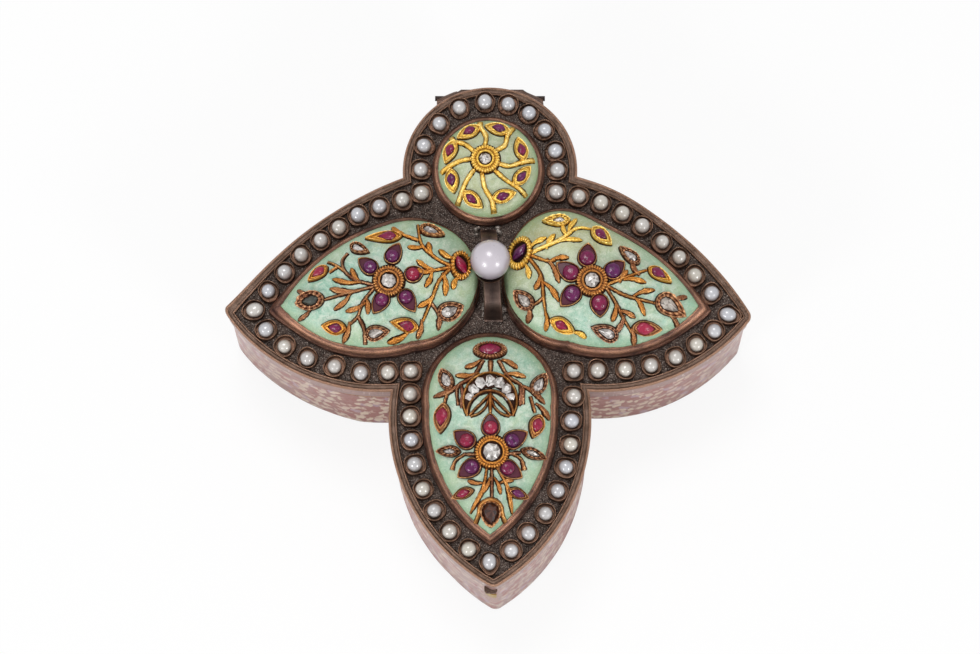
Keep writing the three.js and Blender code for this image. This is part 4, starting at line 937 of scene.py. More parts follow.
        # The dark ring round the work is painted shadow
        self.rings(self.edge, centre, circle(40, outer + 0.1, outer + 0.1),
                   [(1.25, -0.2, 0), (1.2, 0.12, 0), (1, 0.14, 0)])
        self.rose(centre, circle(40, stone, stone), cast, height=0.42, floor=0.55, sides=9)

    def petal(self, centre, tip, cast, radius, stone):
        """A pointed petal with a thin raised edge, a dark red floor and a round ruby, on a foot of painted shadow"""
        tip = np.array(centre) + (np.array(tip) - centre) * 1.03
        centre, shape = self.pod(centre, tip, radius, radius, (0.7, 0.0))
        self.rings(self.edge, centre, shape, FOOT)
        self.rings(self.metal, centre, shape, [
            (1.02, -0.1, 0.1), (1.01, 0.4, 0.3), (0.98, 0.62, 0.9), (0.93, 0.68, 1), (0.88, 0.55, 0.4),
            (0.86, 0.32, 0)], 0.25)
        self.rings(self.rubies, centre, shape, [(0.87, 0.34, 0.85), (0.6, 0.38, 0.9)], 0.5, cap=True)
        self.cabochon(centre, circle(28, stone, stone), cast, height=1.0, floor=0.25)

    def calyx(self, centre, half, turn, stone, hue, teeth, cast, lean=0.0):
        """An oval ruby in a serrated oval setting. The stone leans a little further than its setting."""
        oval = np.array([turned(p, turn) for p in circle(teeth * 4, *half)])
        bead = np.cos(np.arange(len(oval)) / 4 * 2 * pi)
        rows, marks = [], []
        # On the gilt, the wear column gives painted highlight where high and painted shade where low
        for i, (k, h, wear) in enumerate([(1.06, -0.3, 0), (1.03, 0.35, 0.2), (0.97, 0.75, 0.9), (0.86, 0.95, 1),
                                          (0.74, 0.92, 0.8), (0.66, 0.8, 0.4), (0.62, 0.45, 0)]):
            grow = k * (1 + 0.035 * bead * (i < 4))
            rows.append(self.over(centre, oval * grow[:, None], h + 0.09 * bead * (h > 0)))
            marks.append([(wear * (0.65 + 0.35 * b), hue, 0.5) for b in bead])
        self.metal.grid(rows, marks)
        # The dark ring round the setting is painted shadow
        self.rings(self.edge, centre, oval, [(1.2, -0.3, 0), (1.16, 0.12, 0), (1, 0.2, 0)])
        self.rings(self.edge, centre, oval * 0.66, [(1.0, 0.5, 0), (0.4, 0.5, 0)], cap=True)
        gem = np.array([turned(p, turn + lean) for p in circle(32, *stone)])
        self.cabochon(centre, gem, cast, height=0.75, floor=0.45)

    def draw(self, stems, leaves, petals, petal_size, diamonds, rubies):
        """Rows of numbers. A stem gives hue, width, width at its end, and its points; a leaf its start, tip,
        hue, and its width and bend if unusual; a petal its centre, tip and cast; and a stone its centre, tip,
        hue of the metal, length behind, half width, sharpness at the tip and behind, cast and size."""
        for hue, width, end, *points in stems:
            self.stem(np.reshape(points, (-1, 2)), hue, width, end)
        for ax, ay, bx, by, *rest in leaves:
            self.leaf((ax, ay), (bx, by), *rest)
        for ax, ay, bx, by, cast in petals:
            self.petal((ax, ay), (bx, by), cast, *petal_size)
        for stone, mounts in (("diamond", diamonds), ("ruby", rubies)):
            for ax, ay, bx, by, hue, back, half, tip_power, back_power, cast, size in mounts:
                self.mount((ax, ay), (bx, by), stone, hue, back, half, (tip_power, back_power), cast, size)

    def build(self, side, diamonds, name="spray_work", nodes=None, slot="gilt"):
        rubies = [] if nodes else [f"calyx_ruby_{side}", *(f"petal_ruby_{side}_{i}" for i in range(1, 6))]
        nodes = nodes or [f"spray_{side}"]
        build(f"{name}_{side}", self.metal, [gilt], nodes, crease=55)
        build(f"shadow_edges_{side}", self.edge, [shadow_metal], nodes, crease=55)
        build(f"rubies_{side}", self.rubies, [ruby], rubies, crease=60)
        build(f"diamonds_{side}", self.diamonds, [diamond], diamonds, facets=True)


# Left dome. x runs to the point and y to the left of it.
left = Spray(domes["left"])
left.calyx((-10.1, -0.1), (1.45, 2.35), -0.15, (0.4, 1.7), 0.6, 22, 0.75, 0.4)
left.flower((1.8, 0.5), 0.36)
left.draw(
    stems=[
        (0.5, 0.55, 0.4, -8.9, -0.1, -6.8, -1.8, -4.9, -4.7, -5, -8.6),
        (0.5, 0.55, 0.4, -8.9, 0, -5.7, 0.1, -4.6, -0.2),
        (0.5, 0.55, 0.4, -8.6, 0.2, -6.5, 1.9, -4.6, 5, -2.5, 8.2),
        (0.5, 0.55, 0.4, -4.5, -5.6, -2.6, -6.9, -1.6, -7.6), (0.15, 0.55, 0.4, -4.5, 5.5, -5.2, 7, -5.3, 8),
        (0.12, 0.5, 0.4, 4, 0.8, 7.1, -0.8, 8.7, -2.8, 8.8, -4.8, 7.6, -6.1),
        (0.35, 0.45, 0.4, 8.7, -2.8, 9.9, -4.2, 11.3, -5.4), (0.35, 0.45, 0.4, 9.7, -4, 11.4, -3.3),
        (0.15, 0.5, 0.4, 4.4, 0.9, 8, 1, 13.2, 1.2), (0.2, 0.5, 0.4, 4.4, 1.1, 6.9, 3.2, 8.1, 5.2, 9.9, 6.3),
        (0.12, 0.55, 0.7, 8.1, 5.2, 7.5, 7.4, 7.8, 9.8)],
    leaves=[
        (-9.4, -1.5, -7.4, -3.3, 0.6, 1, 0.1), (-9.4, 2, -8.3, 3.7, 0.6, 1, -0.1),
        (-4.8, -4.4, -2.5, -4.8, 0.52), (-6.3, -2.7, -6, -5, 0.52), (-5.8, -0.2, -3.5, -2.2, 0.52),
        (-5.2, 0.2, -3, -0.6, 0.52), (-5.4, 0.5, -4, 2.7, 0.52), (-7.2, 1.2, -6.9, 4.6, 0.52),
        (-4.9, 4.3, -2.1, 5.8, 0.52), (-2, -7.7, -0.6, -9.1, 0.52), (-5.2, 7.2, -4.7, 9.8, 0.15, 0.8),
        (-2.2, 8.3, -1, 10.6, 0.3), (0.4, 9.3, 4.1, 10.3, 0.5), (6.6, -0.6, 7.6, -3.2, 0.4),
        (6.7, -0.5, 11.1, -2, 0.42), (7, 0.9, 11.9, -0.4, 0.25, 1.15), (9, 1.5, 11.9, 3.3, 0.3),
        (6.7, 3.3, 10, 4, 0.35), (6.2, 2.6, 6.4, 5.3, 0.35), (9.9, 6.2, 11.5, 8.7, 0.3),
        (15.6, -0.4, 17.3, -1.7, 0.15, 0.8), (16, 2.3, 18.2, 3.3, 0.15, 0.8)],
    petals=[
        (0.3, -3.6, -1.3, -5.6, 0.1), (4.4, -2.5, 6, -4.4, 0.05), (3.6, 3.4, 5.4, 5.3, 0.2),
        (-0.5, 3.8, -1.5, 6.4, 0.15), (-2.4, 0.2, -4.3, -0.1, 0.72)],
    petal_size=(1.42, 1.16),
    diamonds=[
        (-6.4, -7, -8.7, -5.5, 0.25, 1.5, 1.15, 0.75, 0.15, 0.1, 0.68),
        (5.9, -6.5, 4, -5.2, 0.15, 1.2, 1.15, 0.75, 0.15, 0.1, 0.68),
        (15.3, 0.8, 18, 0.5, 0.12, 2.2, 1.55, 0.5, 0, 0.76, 0.62),
        (6, 8.4, 3.3, 8.6, 0.12, 1.5, 1.35, 0.75, 0.15, 0.3, 0.68),
        (-6.7, 7.1, -9.3, 6.2, 0.12, 1.7, 1.65, 0.75, 0.15, 0.12, 0.68)],
    rubies=[
        (0.1, -7.2, 4.2, -7.9, 0.62, 2.1, 1.15, 1.1, 0.6, 0.5, 0.55),
        (12.8, -3.7, 15.1, -2.6, 0.5, 1.6, 1.1, 0.9, 0.5, 0.8, 0.68),
        (12, 6.1, 14.4, 5.1, 0.55, 1.8, 1.3, 0.9, 0.6, 0.35, 0.6),
        (0.1, 8.3, 3, 7.2, 0.6, 1.8, 1.3, 0.9, 0.6, 0.55, 0.62)])
left.build("left", ["flower_diamond_left"])

right = Spray(domes["right"])
right.calyx((-10.4, 2.2), (1.6, 2.75), -0.05, (0.4, 1.65), 0.95, 26, 0.05, -0.35)
right.flower((1.9, -0.4), 0.4)
right.draw(
    stems=[
        (0.97, 0.8, 0.4, -8.9, 2.5, -4.7, 5.7, -2.6, 8.2, 0, 8.9), (0.5, 0.55, 0.4, -8.8, 2, -6, 1.5, -4.8, 1.9),
        (0.45, 0.55, 0.4, -8.9, 1.5, -6.6, -1.1, -5.5, -4.6, -4.5, -7.6),
        (0.25, 0.5, 0.4, -5.5, -4.6, -6.3, -5.6, -7.2, -6.3),
        (0.45, 0.55, 0.4, 4.4, -0.6, 7.5, 1.5, 10.6, 3.6), (0.35, 0.55, 0.4, 4.4, -0.7, 8.1, -1.7, 13.2, -1.8),
        (0.3, 0.55, 0.4, 4.4, -1, 6.8, -3.5, 8.1, -5.2, 10.3, -7.5)],
    leaves=[
        (-8.9, 3.6, -7, 5.6, 0.97), (-9.3, 0.2, -8.3, -1.9, 0.9), (-6.5, 4, -5.8, 6.5, 0.95),
        (-4.6, 5.3, -1.1, 6.3, 0.95), (-3.9, 6.8, -5, 8.4, 0.95), (-3.6, 7.4, -2.8, 10.2, 0.95),
        (-5.2, 1.8, -2.7, 2.8, 0.45), (-6, 1.5, -3.4, -1.9, 0.3), (-6.8, -1.4, -7.1, -3.6, 0.4),
        (-5.9, -2.3, -2.8, -5, 0.45), (-7.4, -6.9, -7.2, -8.9, 0.2), (-4.5, -7.6, -4.1, -9.9, 0.5),
        (0.8, -9.4, 2.9, -9.8, 0.9), (6.7, 0.7, 7.5, 2.8, 0.4), (7.6, 1, 11, 1.3, 0.5),
        (9.3, 2.7, 7.8, 4.2, 0.2), (9.6, -1.4, 12.7, 0.4, 0.4, 0.95), (9.7, -1.9, 11.9, -4.3, 0.45, 0.95),
        (16.4, -0.6, 18.3, 0.7, 0.15, 0.95), (16.6, -3.5, 17.9, -4.6, 0.15, 0.95), (6.6, -3.8, 6.6, -6.5, 0.4),
        (7.7, -4.5, 10.4, -5, 0.3), (8.3, -5.4, 7.5, -8.2, 0.1), (10.2, -7.2, 11, -9.2, 0.25)],
    petals=[
        (0.3, 3.3, -0.1, 5.9, 0.35), (5, 2, 6.6, 4, 0.02), (3.9, -3.9, 4.5, -6.1, 0.45),
        (-0.9, -3.3, -2.4, -5.6, 0.12), (-1.9, 0.2, -4.5, 1.4, 0.4)],
    petal_size=(1.6, 1.38),
    diamonds=[
        (-5.4, 9, -8.2, 8.2, 0.97, 1.6, 1.2, 0.8, 0.4, 0.1, 0.5),
        (7.7, 5.1, 5.2, 6.5, 0.12, 1.6, 1.2, 0.75, 0.15, 0.12, 0.68),
        (15, -1.4, 18.5, -2.4, 0.15, 1.9, 1.8, 0.7, 0, 0.45, 0.68),
        (6.5, -8.4, 3.3, -8, 0.05, 1.6, 1.45, 0.75, 0.15, 0.1, 0.68),
        (-8.1, -5.6, -10.1, -3.9, 0.1, 1.6, 1.4, 0.75, 0.15, 0.3, 0.68)],
    rubies=[
        (1.5, 8, 3.9, 6.6, 0.97, 1.8, 1.45, 0.8, 0.4, 0.35, 0.6),
        (12.3, 3.4, 15.1, 2.3, 0.7, 1.7, 1.2, 0.9, 0.5, 0.4, 0.66),
        (12, -6.2, 15.1, -5.5, 0.25, 2, 1.35, 0.9, 0.5, 0.95, 0.68),
        (-1.8, -8.5, 0.9, -9.3, 0.85, 2, 1.3, 0.9, 0.6, 0.6, 0.55)])
right.build("right", ["flower_diamond_right"])

front = Spray(domes["front"])
front.calyx((-9.1, 0), (1.45, 2.75), 0, (0.75, 1.9), 0.15, 30, 0.55)
front.flower((8.5, 0.3), 0.5, 2.75, 1.75, 1.5, 36, 0.1)
front.draw(
    stems=[
        (0.2, 0.75, 0.4, -7.4, 0.1, -5.1, 0.1), (0.12, 0.6, 0.4, -7.5, -1.1, -4.5, -2.8, -2.8, -5.4, 0.5, -5.4),
        (0.15, 0.6, 0.4, -7.5, 1.4, -4.5, 3.1, -2.8, 5.4, 0.3, 5.6),
        (0.25, 0.5, 0.4, -2.2, -7, -0.7, -7.5, 0.3, -7.7), (0.25, 0.5, 0.4, -1.2, 6.8, 0.3, 7.2, 1.6, 7.6),
        (0.1, 0.55, 0.4, 8.9, -2.4, 8.8, -4.6), (0.1, 0.55, 0.4, 8.8, 2.8, 8.5, 5.2),
        (0.25, 0.45, 0.8, 8.9, -4.4, 9.8, -5.8, 11.3, -6.4), (0.25, 0.45, 0.8, 8.7, 3.6, 9.6, 5.2, 11.4, 5.8),
        (0.1, 0.5, 0.4, 11.4, 0.3, 16.4, 0.3)],
    leaves=[
        (-7.3, -1.9, -6.1, -4.3, 0.3), (-5.1, -2.3, -4.8, -5.9, 0.35), (-3.1, -5.4, -1.3, -9.6, 0.15),
        (-7.3, 2.3, -6, 4.7, 0.3), (-4.8, 2.8, -4.5, 6.1, 0.35), (-2.8, 5.4, -0.1, 9.3, 0.2),
        (-2.6, -4.9, 1, -4.8, 0.05), (-2.4, 5, 0.6, 5, 0.1), (0.3, 8, 2.6, 10, 0.25),
        (11.6, -0.7, 18.6, -3.3, 0.42, 0.85), (11.6, 1.3, 18.6, 3.7, 0.42, 0.85),
        (13.2, -0.2, 15.6, -1.5, 0.4, 0.8), (13.2, 0.8, 15.6, 1.8, 0.4, 0.8),
        (13.6, -1.6, 13.2, -3.8, 0.35, 0.8), (13.6, 2.1, 13.2, 4, 0.35, 0.8)],
    petals=[
        (4.4, 0.1, 1.9, 0, 0.85), (6.5, -3.9, 4.9, -6, 0.6), (6.5, 3.7, 5, 6.2, 0.03),
        (11, -3, 12.5, -5.3, 0.08), (11.2, 2.9, 12.6, 5.3, 0.4)],
    petal_size=(1.55, 1.2),
    diamonds=[
        (-3.9, -7.3, -6.1, -8, 0.1, 1.8, 1.4, 0.6, 0.2, 0.1, 0.72),
        (-3, 8, -5.4, 9.2, 0.1, 1.7, 1.4, 0.5, 0.3, 0.15, 0.72),
        (8.2, -6.6, 7.9, -8.9, 0.12, 1.7, 1.1, 0.8, 0.5, 0.15, 0.55),
        (8.5, 7, 9.1, 9.3, 0.12, 1.9, 1.1, 0.8, 0.5, 0.25, 0.6),
        (18.3, 0.1, 20.9, 0.1, 0.2, 1.6, 1.55, 0.8, 0, 1, 0.9)],
    rubies=[
        (2.1, -7.9, 5.1, -8.3, 0.25, 2.3, 1.55, 0.8, 0.8, 0.7, 0.66),
        (3.6, 7.8, 6, 7.1, 0.35, 1.8, 1.4, 0.8, 0.6, 0.75, 0.66),
        (15.2, -4.3, 15.6, -6.1, 0.25, 1.7, 1.05, 0.7, 0.6, 0.6, 0.7),
        (15.2, 4.5, 15.6, 6.2, 0.25, 1.7, 1.05, 0.7, 0.6, 0.12, 0.7)])
front.stem([(20.2, -2.5), (18.8, -1.85), (17.4, -1.55), (16.7, -0.8), (16.45, 0.1), (16.7, 1.0), (17.4, 1.75),
            (18.8, 2.0), (20.2, 2.7)], 0.4, 0.75, 0.75, 0.9)


# Crescent with its horns towards the point, seven stones in its band, and a split sprig below
def horned(x, r, a0, a1):
    arc = swept((x, 0), r, radians(a0), radians(a1), 30) + [out_from((x, 0), r, radians(a1))]
    return [(x, y * 0.93) for x, y in arc]


outer_path, inner_path = horned(-0.27, 4.78, 58, 302), horned(2.2, 4.15, 88, 272)
# Dark strokes lie under the band and, as painted shadow, along its two edges
for path, widths, height in ((horned(0.55, 4.15, 75, 285), (0.3, 1.1, 1.9, 2.3, 1.9, 1.1, 0.3), 0.34),
                             (outer_path, (0.8, 0.8), 0.16), (inner_path, (0.85, 0.85), 0.2)):
    stroke(front.edge, front.dome, path, widths, height, 0, FLAT)
stroke(front.metal, front.dome, outer_path, (0.42, 0.42), 0.95, 0.4)
stroke(front.metal, front.dome, inner_path, (0.42, 0.42), 0.9, 0.3)
for hand in (-1, 1):
    front.stem([(-1.3, hand * 0.1), (-0.1, hand * 1.2), (1.1, hand * 2.4), (2.3, hand * 3.5)], 0.3, 0.4, height=0.7)
    front.stem([(-0.6, hand * 0.2), (0.9, hand * 0.8), (2.0, hand * 2.0), (2.4, hand * 3.3)], 0.3, 0.35, height=0.6)
front.stem([(-1.6, 0.05), (2.0, 0.05)], 0.4, 0.6, height=0.8)
for angle, size in ((180, 1.12), (153, 1.08), (207, 1.08), (127, 1.0), (233, 1.0), (103, 0.85), (257, 0.85)):
    a = radians(angle)
    stone = np.array([turned(p, a) for p in circle(20, size, size * 0.88)])
    front.rose((-0.05 + 3.6 * cos(a), 3.42 * sin(a)), stone, 0.05, height=0.3, floor=0.55, sides=6)
front.build("front", ["flower_diamond_front", "crescent"])

# Pinwheel on the medallion. x runs to the hinge. Each ruby has its centre, tip and cast.
wheel = Spray(domes["round"])
for arm in ((3.2, 0.6, 5.1, 0.4, 6.9, 1.3, 8.1, 1.4), (2.4, -1.1, 3.5, -2.8, 5.4, -3.3, 7.1, -4.3),
            (0.2, -1.8, -0.2, -3.6, 0.6, -5.8, 1.2, -7.9), (-1.0, -1.1, -2.7, -3.1, -4.0, -5.3, -5.1, -6.5),
            (-1.4, 1.1, -4.0, 0.6, -6.1, -0.6, -8.1, -1.0), (-0.8, 2.4, -2.9, 3.8, -5.2, 4.7, -6.6, 5.3),
            (1.1, 2.8, 0.7, 5.0, -0.3, 7.0, -1.0, 8.1), (2.3, 2.3, 3.8, 4.1, 4.4, 5.8, 5.4, 6.4)):
    wheel.stem(np.reshape(arm, (4, 2)), 0.95, 0.85, 1.0, 0.6)
for cx, cy, tx, ty, cast in (
        (6.052, 3.069, 4.913, 5.277, 0.35), (6.424, -1.86, 7.074, 0.596, 0.15), (2.611, -5.58, 5.075, -4.912, 0.45),
        (-2.039, -5.487, 0.065, -7.122, 0.1), (-5.387, -2.325, -4.582, -4.755, 0.2),
        (-5.666, 2.883, -7.252, 0.896, 0.3), (-2.318, 6.138, -4.705, 5.753, 0.15),
        (2.797, 6.324, 0.456, 7.234, 0.5)):
    wheel.mount((cx, cy), (tx, ty), "ruby", 0.97, 2.0, 1.3, (0.8, 0.7), cast, 0.56, wall=0.65)
wheel.flower((0.95, 0.5), 0.97, 2.4, 1.15, 1.0, 30)
wheel.build("round", ["flower_diamond_round"], "pinwheel_work", ["pinwheel"], "gold")

for seed, (name, dome) in enumerate(domes.items()):
    build(f"enamel_{name}", crown_work(dome, seed * 31 + 5), [green], [f"dome_{name}"], crease=70)
    build(f"setting_{name}", bezel_work(dome, seed * 17 + 3), [copper], [f"bezel_{name}"], crease=60)

# Seed pearls in collets. Each row has its leaf's middle, the pearl at the leaf's tip, and its places.
PEARL_ROWS = {
    "round": ((0, ROUND_Y), None, (
        11.4, 12.7, 11.65, 16.6, 11.25, 20.05, 9.45, 23.75, 6.75, 26.8, 3.15, 28.45, -0.9, 28.85, -5.3, 27.8,
        -8.75, 24.95, -11.4, 21.0, -11.95, 16.7, -11.8, 12.5)),
    "left": ((-24, -4), 8, (
        -15.1, 11.3, -19.05, 10.1, -22.75, 8.6, -26.0, 6.4, -29.1, 4.1, -32.45, 1.55, -35.25, -1.55, -38.0, -4.85,
        -40.3, -8.2, -38.35, -11.65, -35.15, -14.6, -31.2, -16.7, -26.55, -18.1, -22.05, -19.25, -17.45, -19.15)),
    "right": ((24, -4), 8, (
        15.3, 11.9, 19.1, 10.8, 22.8, 8.9, 26.2, 6.7, 29.6, 3.8, 32.5, 1.1, 35.1, -2.1, 38.0, -5.3, 40.75, -9.0,
        38.4, -11.9, 35.3, -14.3, 31.7, -16.5, 27.5, -17.9, 23.1, -18.6, 18.4, -18.8)),
    "front": ((0, -30), 9, (
        14.3, -18.9, 14.3, -23.3, 13.9, -27.6, 13.7, -31.7, 12.9, -35.6, 11.5, -39.7, 9.4, -43.6, 6.5, -47.0,
        3.6, -50.0, -0.1, -51.9, -3.6, -49.75, -6.85, -46.7, -9.45, -43.1, -11.4, -39.4, -12.8, -35.1,
        -13.4, -30.9, -13.6, -26.8, -13.6, -22.9, -13.5, -18.9)),
}


def outward_at(row, i, centre):
    """The way out from a leaf, square to its row of places"""
    before = row[i - 1] if i else 2 * row[0] - row[1]
    after = row[i + 1] if i + 1 < len(row) else 2 * row[-1] - row[-2]
    nx, ny = before[1] - after[1], after[0] - before[0]
    hand = 1 if nx * (row[i][0] - centre[0]) + ny * (row[i][1] - centre[1]) > 0 else -1
    return atan2(hand * ny, hand * nx)


def collet(work, x, y, outward, style):
    """A thin cup: horseshoe on the round lobe, pointed at the tips, and else nearly round"""
    lip_r = 1.76 + chance.uniform(-0.05, 0.05)
    twist = chance.uniform(-0.25, 0.25)
    square = {"round": 2.2, "corner": 3.0, "tip": 2.0}.get(style, 2.25)
    rows, marks = [], []
    for k, z, wear in ((1.04, 0.0, 0), (1.0, 0.55, 0), (1.0, 1.1, 0.2), (0.99, 1.28, 0.9), (0.96, 1.34, 1),
                       (0.925, 1.28, 0.8), (0.9, 1.0, 0.3), (0.86, 0.4, 0.15), (0.4, 0.35, 0)):
        row, tone = [], []
        for a in np.arange(40) / 40 * 2 * pi:
            c, s = cos(a), sin(a)
            r = lip_r * (abs(c) ** square + abs(s) ** square) ** (-1 / square)
            if style == "round":
                r *= 1 + 0.06 * max(0, -c) ** 3
                drop = 0.75 * max(0, -c) ** 2
            else:
                r *= 1 + (0.3 * max(0, c) ** 4 if style == "tip" else 0.1 * max(0, -cos(a + twist)) ** 2)
                drop = 0.1 * max(0, cos(3 * a + twist))
            r *= k * (1 + 0.1 * wave(x + c, y + s, 4, 1.1))
            height = z * (1 + 0.06 * wave(x + c, y + s, 8, 0.9)) - (drop if z > 0.6 else 0)
            row.append((*out_from((x, y), r, outward + a), PLATE_TOP + height))
            tone.append((wear * (0.75 + 0.5 * wave(x + c, y + s, 1, 1.3)), 0, 0))
        rows.append(row)
        marks.append(tone)
    work.grid(rows, marks, caps="last")


def ball(work, centre, r, stretch=(1, 1, 1), turn=0.0, cast=0.5, wobble=0.03, rows=16, around=26):
    """A pearl: a globe pushed a little out of round, with mark 0 rising low down, where a pearl takes painted shade"""
    grid, marks = [], []
    seed = centre[0] * 3.7 + centre[1]
    for i in range(1, rows):
        lat = pi * i / rows
        line, tone = [], []
        for c, s in circle(around):
            n = np.array([sin(lat) * c, sin(lat) * s, cos(lat)])
            p = n * r * (1 + wobble * wave(n[0] + seed, n[1], n[2], 1.2)) * stretch
            x, y = turned(p[:2], turn)
            line.append((centre[0] + x, centre[1] + y, centre[2] + p[2]))
            tone.append((max(0.0, min(1.0, 0.75 - n[2])), cast, 0))
        grid.append(line)
        marks.append(tone)
    work.grid(grid, marks, caps="first last")


for name, (leaf_centre, tip_index, places) in PEARL_ROWS.items():
    cups, pearls = Work(), Work()
    places = np.reshape(places, (-1, 2))
    for i, (x, y) in enumerate(places):
        style, outward = name, outward_at(places, i, leaf_centre)
        if name in ("front", "round") and i in (0, len(places) - 1):
            style = "corner"
        if i == tip_index:
            style, outward = "tip", domes[name].angle
        collet(cups, x, y, outward, style)
        r = 1.24 + chance.uniform(-0.05, 0.05)
        long = 1.22 if style == "tip" else 1 + chance.uniform(0, 0.06)
        ball(pearls, (x, y, PLATE_TOP + 0.98), r, (long, 1, 0.95), outward, chance.random())
    build(f"collets_{name}", cups, [collet_metal], [f"pearls_{name}"], crease=60)
    build(f"seed_pearls_{name}", pearls, [seed_pearl], [f"pearls_{name}"], crease=80)

# Strap over the crossing, solder left beside its ends, its cup and the large pearl
strap_low, strap_high = low("bridge_strap"), high("bridge_strap")
under = strap_high.z - 0.8
half_way = [(0.4, PLATE_TOP), (1.1, PLATE_TOP + 0.6), (2.3, under - 0.9), (3.4, under), (5.5, under)]
path = smooth_path([(strap_high.y - y, z) for y, z in half_way] + [(strap_low.y + y, z) for y, z in half_way[::-1]],
                   0.25)
section = [(-1.55, 0.15, 0.4), (-1.55, 0.6, 0.9), (-1.42, 0.78, 1), (-1.1, 0.8, 0.5), (0, 0.8, 0.1), (1.1, 0.8, 0.5),
           (1.42, 0.78, 1), (1.55, 0.6, 0.9), (1.55, 0.15, 0.4), (1.4, 0, 0.2), (-1.4, 0, 0.2)]
rows = []
for p, d in zip(path, along(path)):
    off = p[0] - (strap_low.y + strap_high.y) / 2
    grow = 0.94 + 0.14 * max(0.0, (-off - 5) / 3)
    rows.append([(u * grow + 0.15 - 0.058 * off, p[0] + d[1] * h, p[1] - d[0] * h + 0.03 * wave(p[0], u, 1, 0.8))
                 for u, h, _ in section])
build("strap", Work().grid(rows, [(m, 0, 0) for _, _, m in section], caps="first last"), [brushed],
      ["bridge_strap"], crease=50)

solder = Work()
for x, y, tall in ((-2.2, 6.0, 1.0), (1.6, 5.8, 0.95), (-1.1, -8.0, 0.9), (2.2, -8.5, 0.9)):
    for i in range(6):
        place = (x + chance.uniform(-0.35, 0.35), y + chance.uniform(-tall, tall), PLATE_TOP + 0.45)
        ball(solder, place, chance.uniform(0.3, 0.5), wobble=0.3, rows=7, around=10)
build("solder", solder, [solder_metal])

cup_low, cup_high = low("pearl_cup"), high("pearl_cup")
cup_x, cup_y = (cup_low.x + cup_high.x) / 2, (cup_low.y + cup_high.y) / 2
CUP = [(0.7, 0, 0), (1.6, 0, 0.2), (2.1, 0.3, 0.2), (2.5, 0.8, 0.2), (2.75, 1.2, 0.9), (2.72, 1.38, 1),
       (2.6, 1.3, 0.6), (2.3, 0.95, 0), (1.6, 0.6, 0), (0.7, 0.5, 0)]
rows = [[(*out_from((cup_x, cup_y), r * (1 + 0.02 * wave(cos(a) * 2, sin(a) * 2, h)), a), cup_low.z + h)
         for a in np.arange(48) / 48 * 2 * pi] for r, h, _ in CUP]
build("cup", Work().grid(rows, [[(m, 0, 0)] * 48 for _, _, m in CUP]), [bronze], ["pearl_cup"])

pearl_low, pearl_high = low("centre_pearl"), high("centre_pearl")
centre = (pearl_low + pearl_high) / 2
great = Work()
ball(great, (centre.x + 0.05, centre.y + 0.6, centre.z), (pearl_high.z - pearl_low.z) / 2, wobble=0.012, rows=48,
     around=72)
build("great_pearl", great, [great_pearl], ["centre_pearl"], crease=80)


# Hinge: a bearer with sloping corners for each leaf, and its knuckles round the pin
def hinge_leaf(name, node, body, z0, z1, *knuckles):
    plan = [(-9.3, 27.2), (9.3, 27.2), (9.3, 29.2), (5.7, 31.7), (-5.0, 31.7), (-9.3, 28.9)]
    leaf = Work().grid([[(x * (1 - inset / 9), y - (inset if y > 30 else 0), z) for x, y in plan] for inset, z in (
        (0.25, z0), (0, z0 + 0.2), (0, z1 - 0.2), (0.25, z1))], (0.3, 0, 0), caps="first last")
    for a, b in knuckles:
        rings = []
        for x in np.linspace(a, b, 6):
            slope = max(0.0, (abs(x) - 6.0) / 3.3)
            r, y = 1.3 - 0.6 * slope, HINGE.y - 0.85 * slope
            rings.append([(x, y + c, HINGE.z + s) for c, s in circle(28, r, r)])
        leaf.grid(rings, (0.5, 0, 0), caps="first last")
    build(name, leaf, [bronze], [node], body=body, crease=30)


hinge_leaf("body_bearer", "hinge_body_leaf", "box", 16.2, HINGE.z - 0.9, (-9.3, -5.7), (-1.4, 1.4), (5.7, 9.3))
hinge_leaf("lid_bearer", "hinge_lid_leaf", "lid", HINGE.z + 0.9, PLATE_BOTTOM, (-5.4, -1.7), (1.7, 5.4))

# Nodes of the frame that stay: softened edges and a look of their own
# The catch frame takes the dark metal as painted shade in the window
for node, look, width in (("hinge_pin", bronze, 0.1), ("catch_frame", shadow_metal, 0.12), ("catch_push", brass, 0.12),
                          ("catch_spring", brass, 0.08), ("catch_tongue", bronze, 0.1), ("pearl_peg", brass, 0.05)):
    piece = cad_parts[node]
    piece.data.materials.clear()
    piece.data.materials.append(look)
    soft = piece.modifiers.new("soft_edges", "BEVEL")
    soft.width, soft.segments, soft.limit_method = width * MM, 2, "ANGLE"
    soft.angle_limit = radians(40)


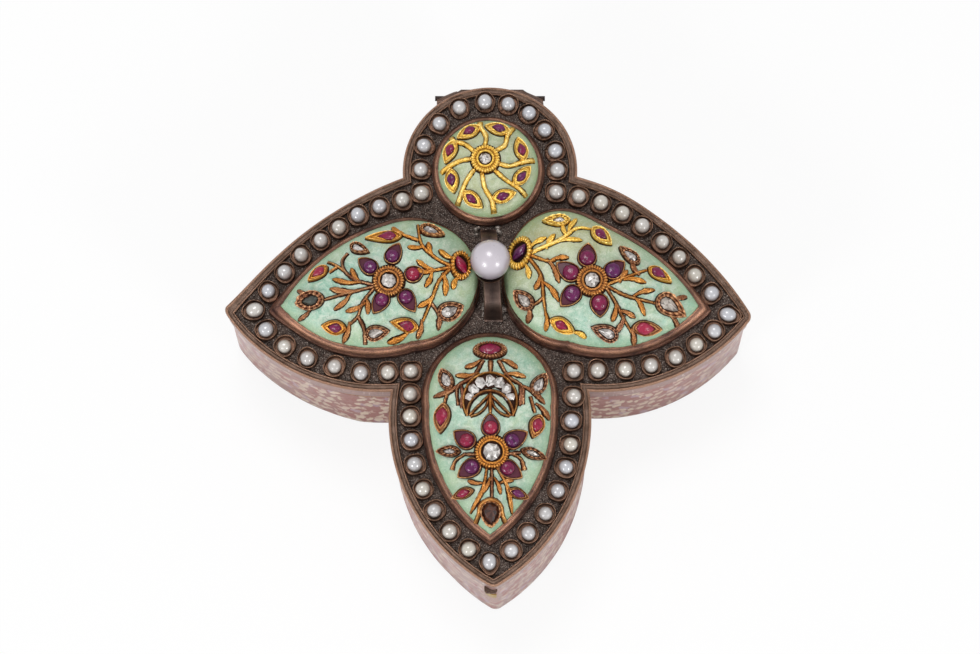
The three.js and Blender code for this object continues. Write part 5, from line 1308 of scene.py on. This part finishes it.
# Floor, light and camera
def plain(name, colour):
    """A pale floor. Seen by the camera, most of its white is its own, so that its shadows stay faint."""
    look = Look(name, Roughness=0.85)
    shade = look.mix(look.ramp(look.noise(0.004, 2, 0.4), (0.3, 0), (0.7, 0.25)), colour, "ffffff")
    glow = look.node("Emission", 0, {"Color": shade, "Strength": 1.0})
    own = look.times(look.node("LightPath", "Is Camera Ray"), 0.88)
    blend = look.node("MixShader", 0, {0: own, 1: look.shader.outputs[0], 2: glow})
    look.feed(look.tree.nodes["Material Output"].inputs["Surface"], blend)
    return look.finish(shade)


span = np.linspace(-1500, 1500, 13)
ground_work = Work().grid([[(x, y, -0.05) for x in span] for y in span], around=False)
floor = linked("floor", mesh_of("floor", np.concatenate(ground_work.points), ground_work.faces))
floor.data.materials.append(plain("pale_floor", "fcfcfc"))

# White to the camera, and softer in reflections and as light
world = bpy.data.worlds.new("studio")
bpy.context.scene.world = world
world.use_nodes = True
sky = Nodes(world.node_tree)
seen = sky.times(sky.node("LightPath", "Is Camera Ray"), 0.5)
mirrored = sky.times(sky.node("LightPath", "Is Glossy Ray"), 0.25)
back = world.node_tree.nodes["Background"].inputs
sky.feed(back["Strength"], sky.plus(sky.plus(seen, mirrored), 0.5))
back["Color"].default_value = (1, 1, 1, 1)

for name, place, size, watts in (
        ("left_lamp", (-0.4, -0.44, 0.42), 0.2, 1.6), ("right_lamp", (0.44, -0.42, 0.4), 0.18, 1.4),
        ("top_lamp", (-0.1, 0.25, 0.8), 0.3, 2.4)):
    data = bpy.data.lights.new(name, "AREA")
    data.shape, data.size, data.energy = "DISK", size, watts
    lamp = linked(name, data)
    lamp.location = place
    lamp.rotation_euler = (-Vector(place)).to_track_quat("-Z", "Y").to_euler()

# The camera looks down on the lid from the front, at the photograph's angle
TILT = radians(13)
AIM = Vector((0, 0, 25.4)) * MM
DISTANCE, FOCAL_PIXELS, WIDE = 0.7, 4074.5, 980
forward = Vector((0, sin(TILT), -cos(TILT)))
upward = Vector((1, 0, 0)).cross(forward)
camera = linked("camera", bpy.data.cameras.new("camera"))
camera.data.sensor_width = 36
camera.data.lens = FOCAL_PIXELS / WIDE * camera.data.sensor_width
camera.data.clip_start, camera.data.clip_end = 0.05, 10
camera.location = AIM - DISTANCE * (forward + 0.01546 * upward)
camera.rotation_mode = "QUATERNION"
camera.rotation_quaternion = forward.to_track_quat("-Z", "Y")
bpy.context.scene.camera = camera
bpy.context.scene.view_settings.view_transform = "Standard"
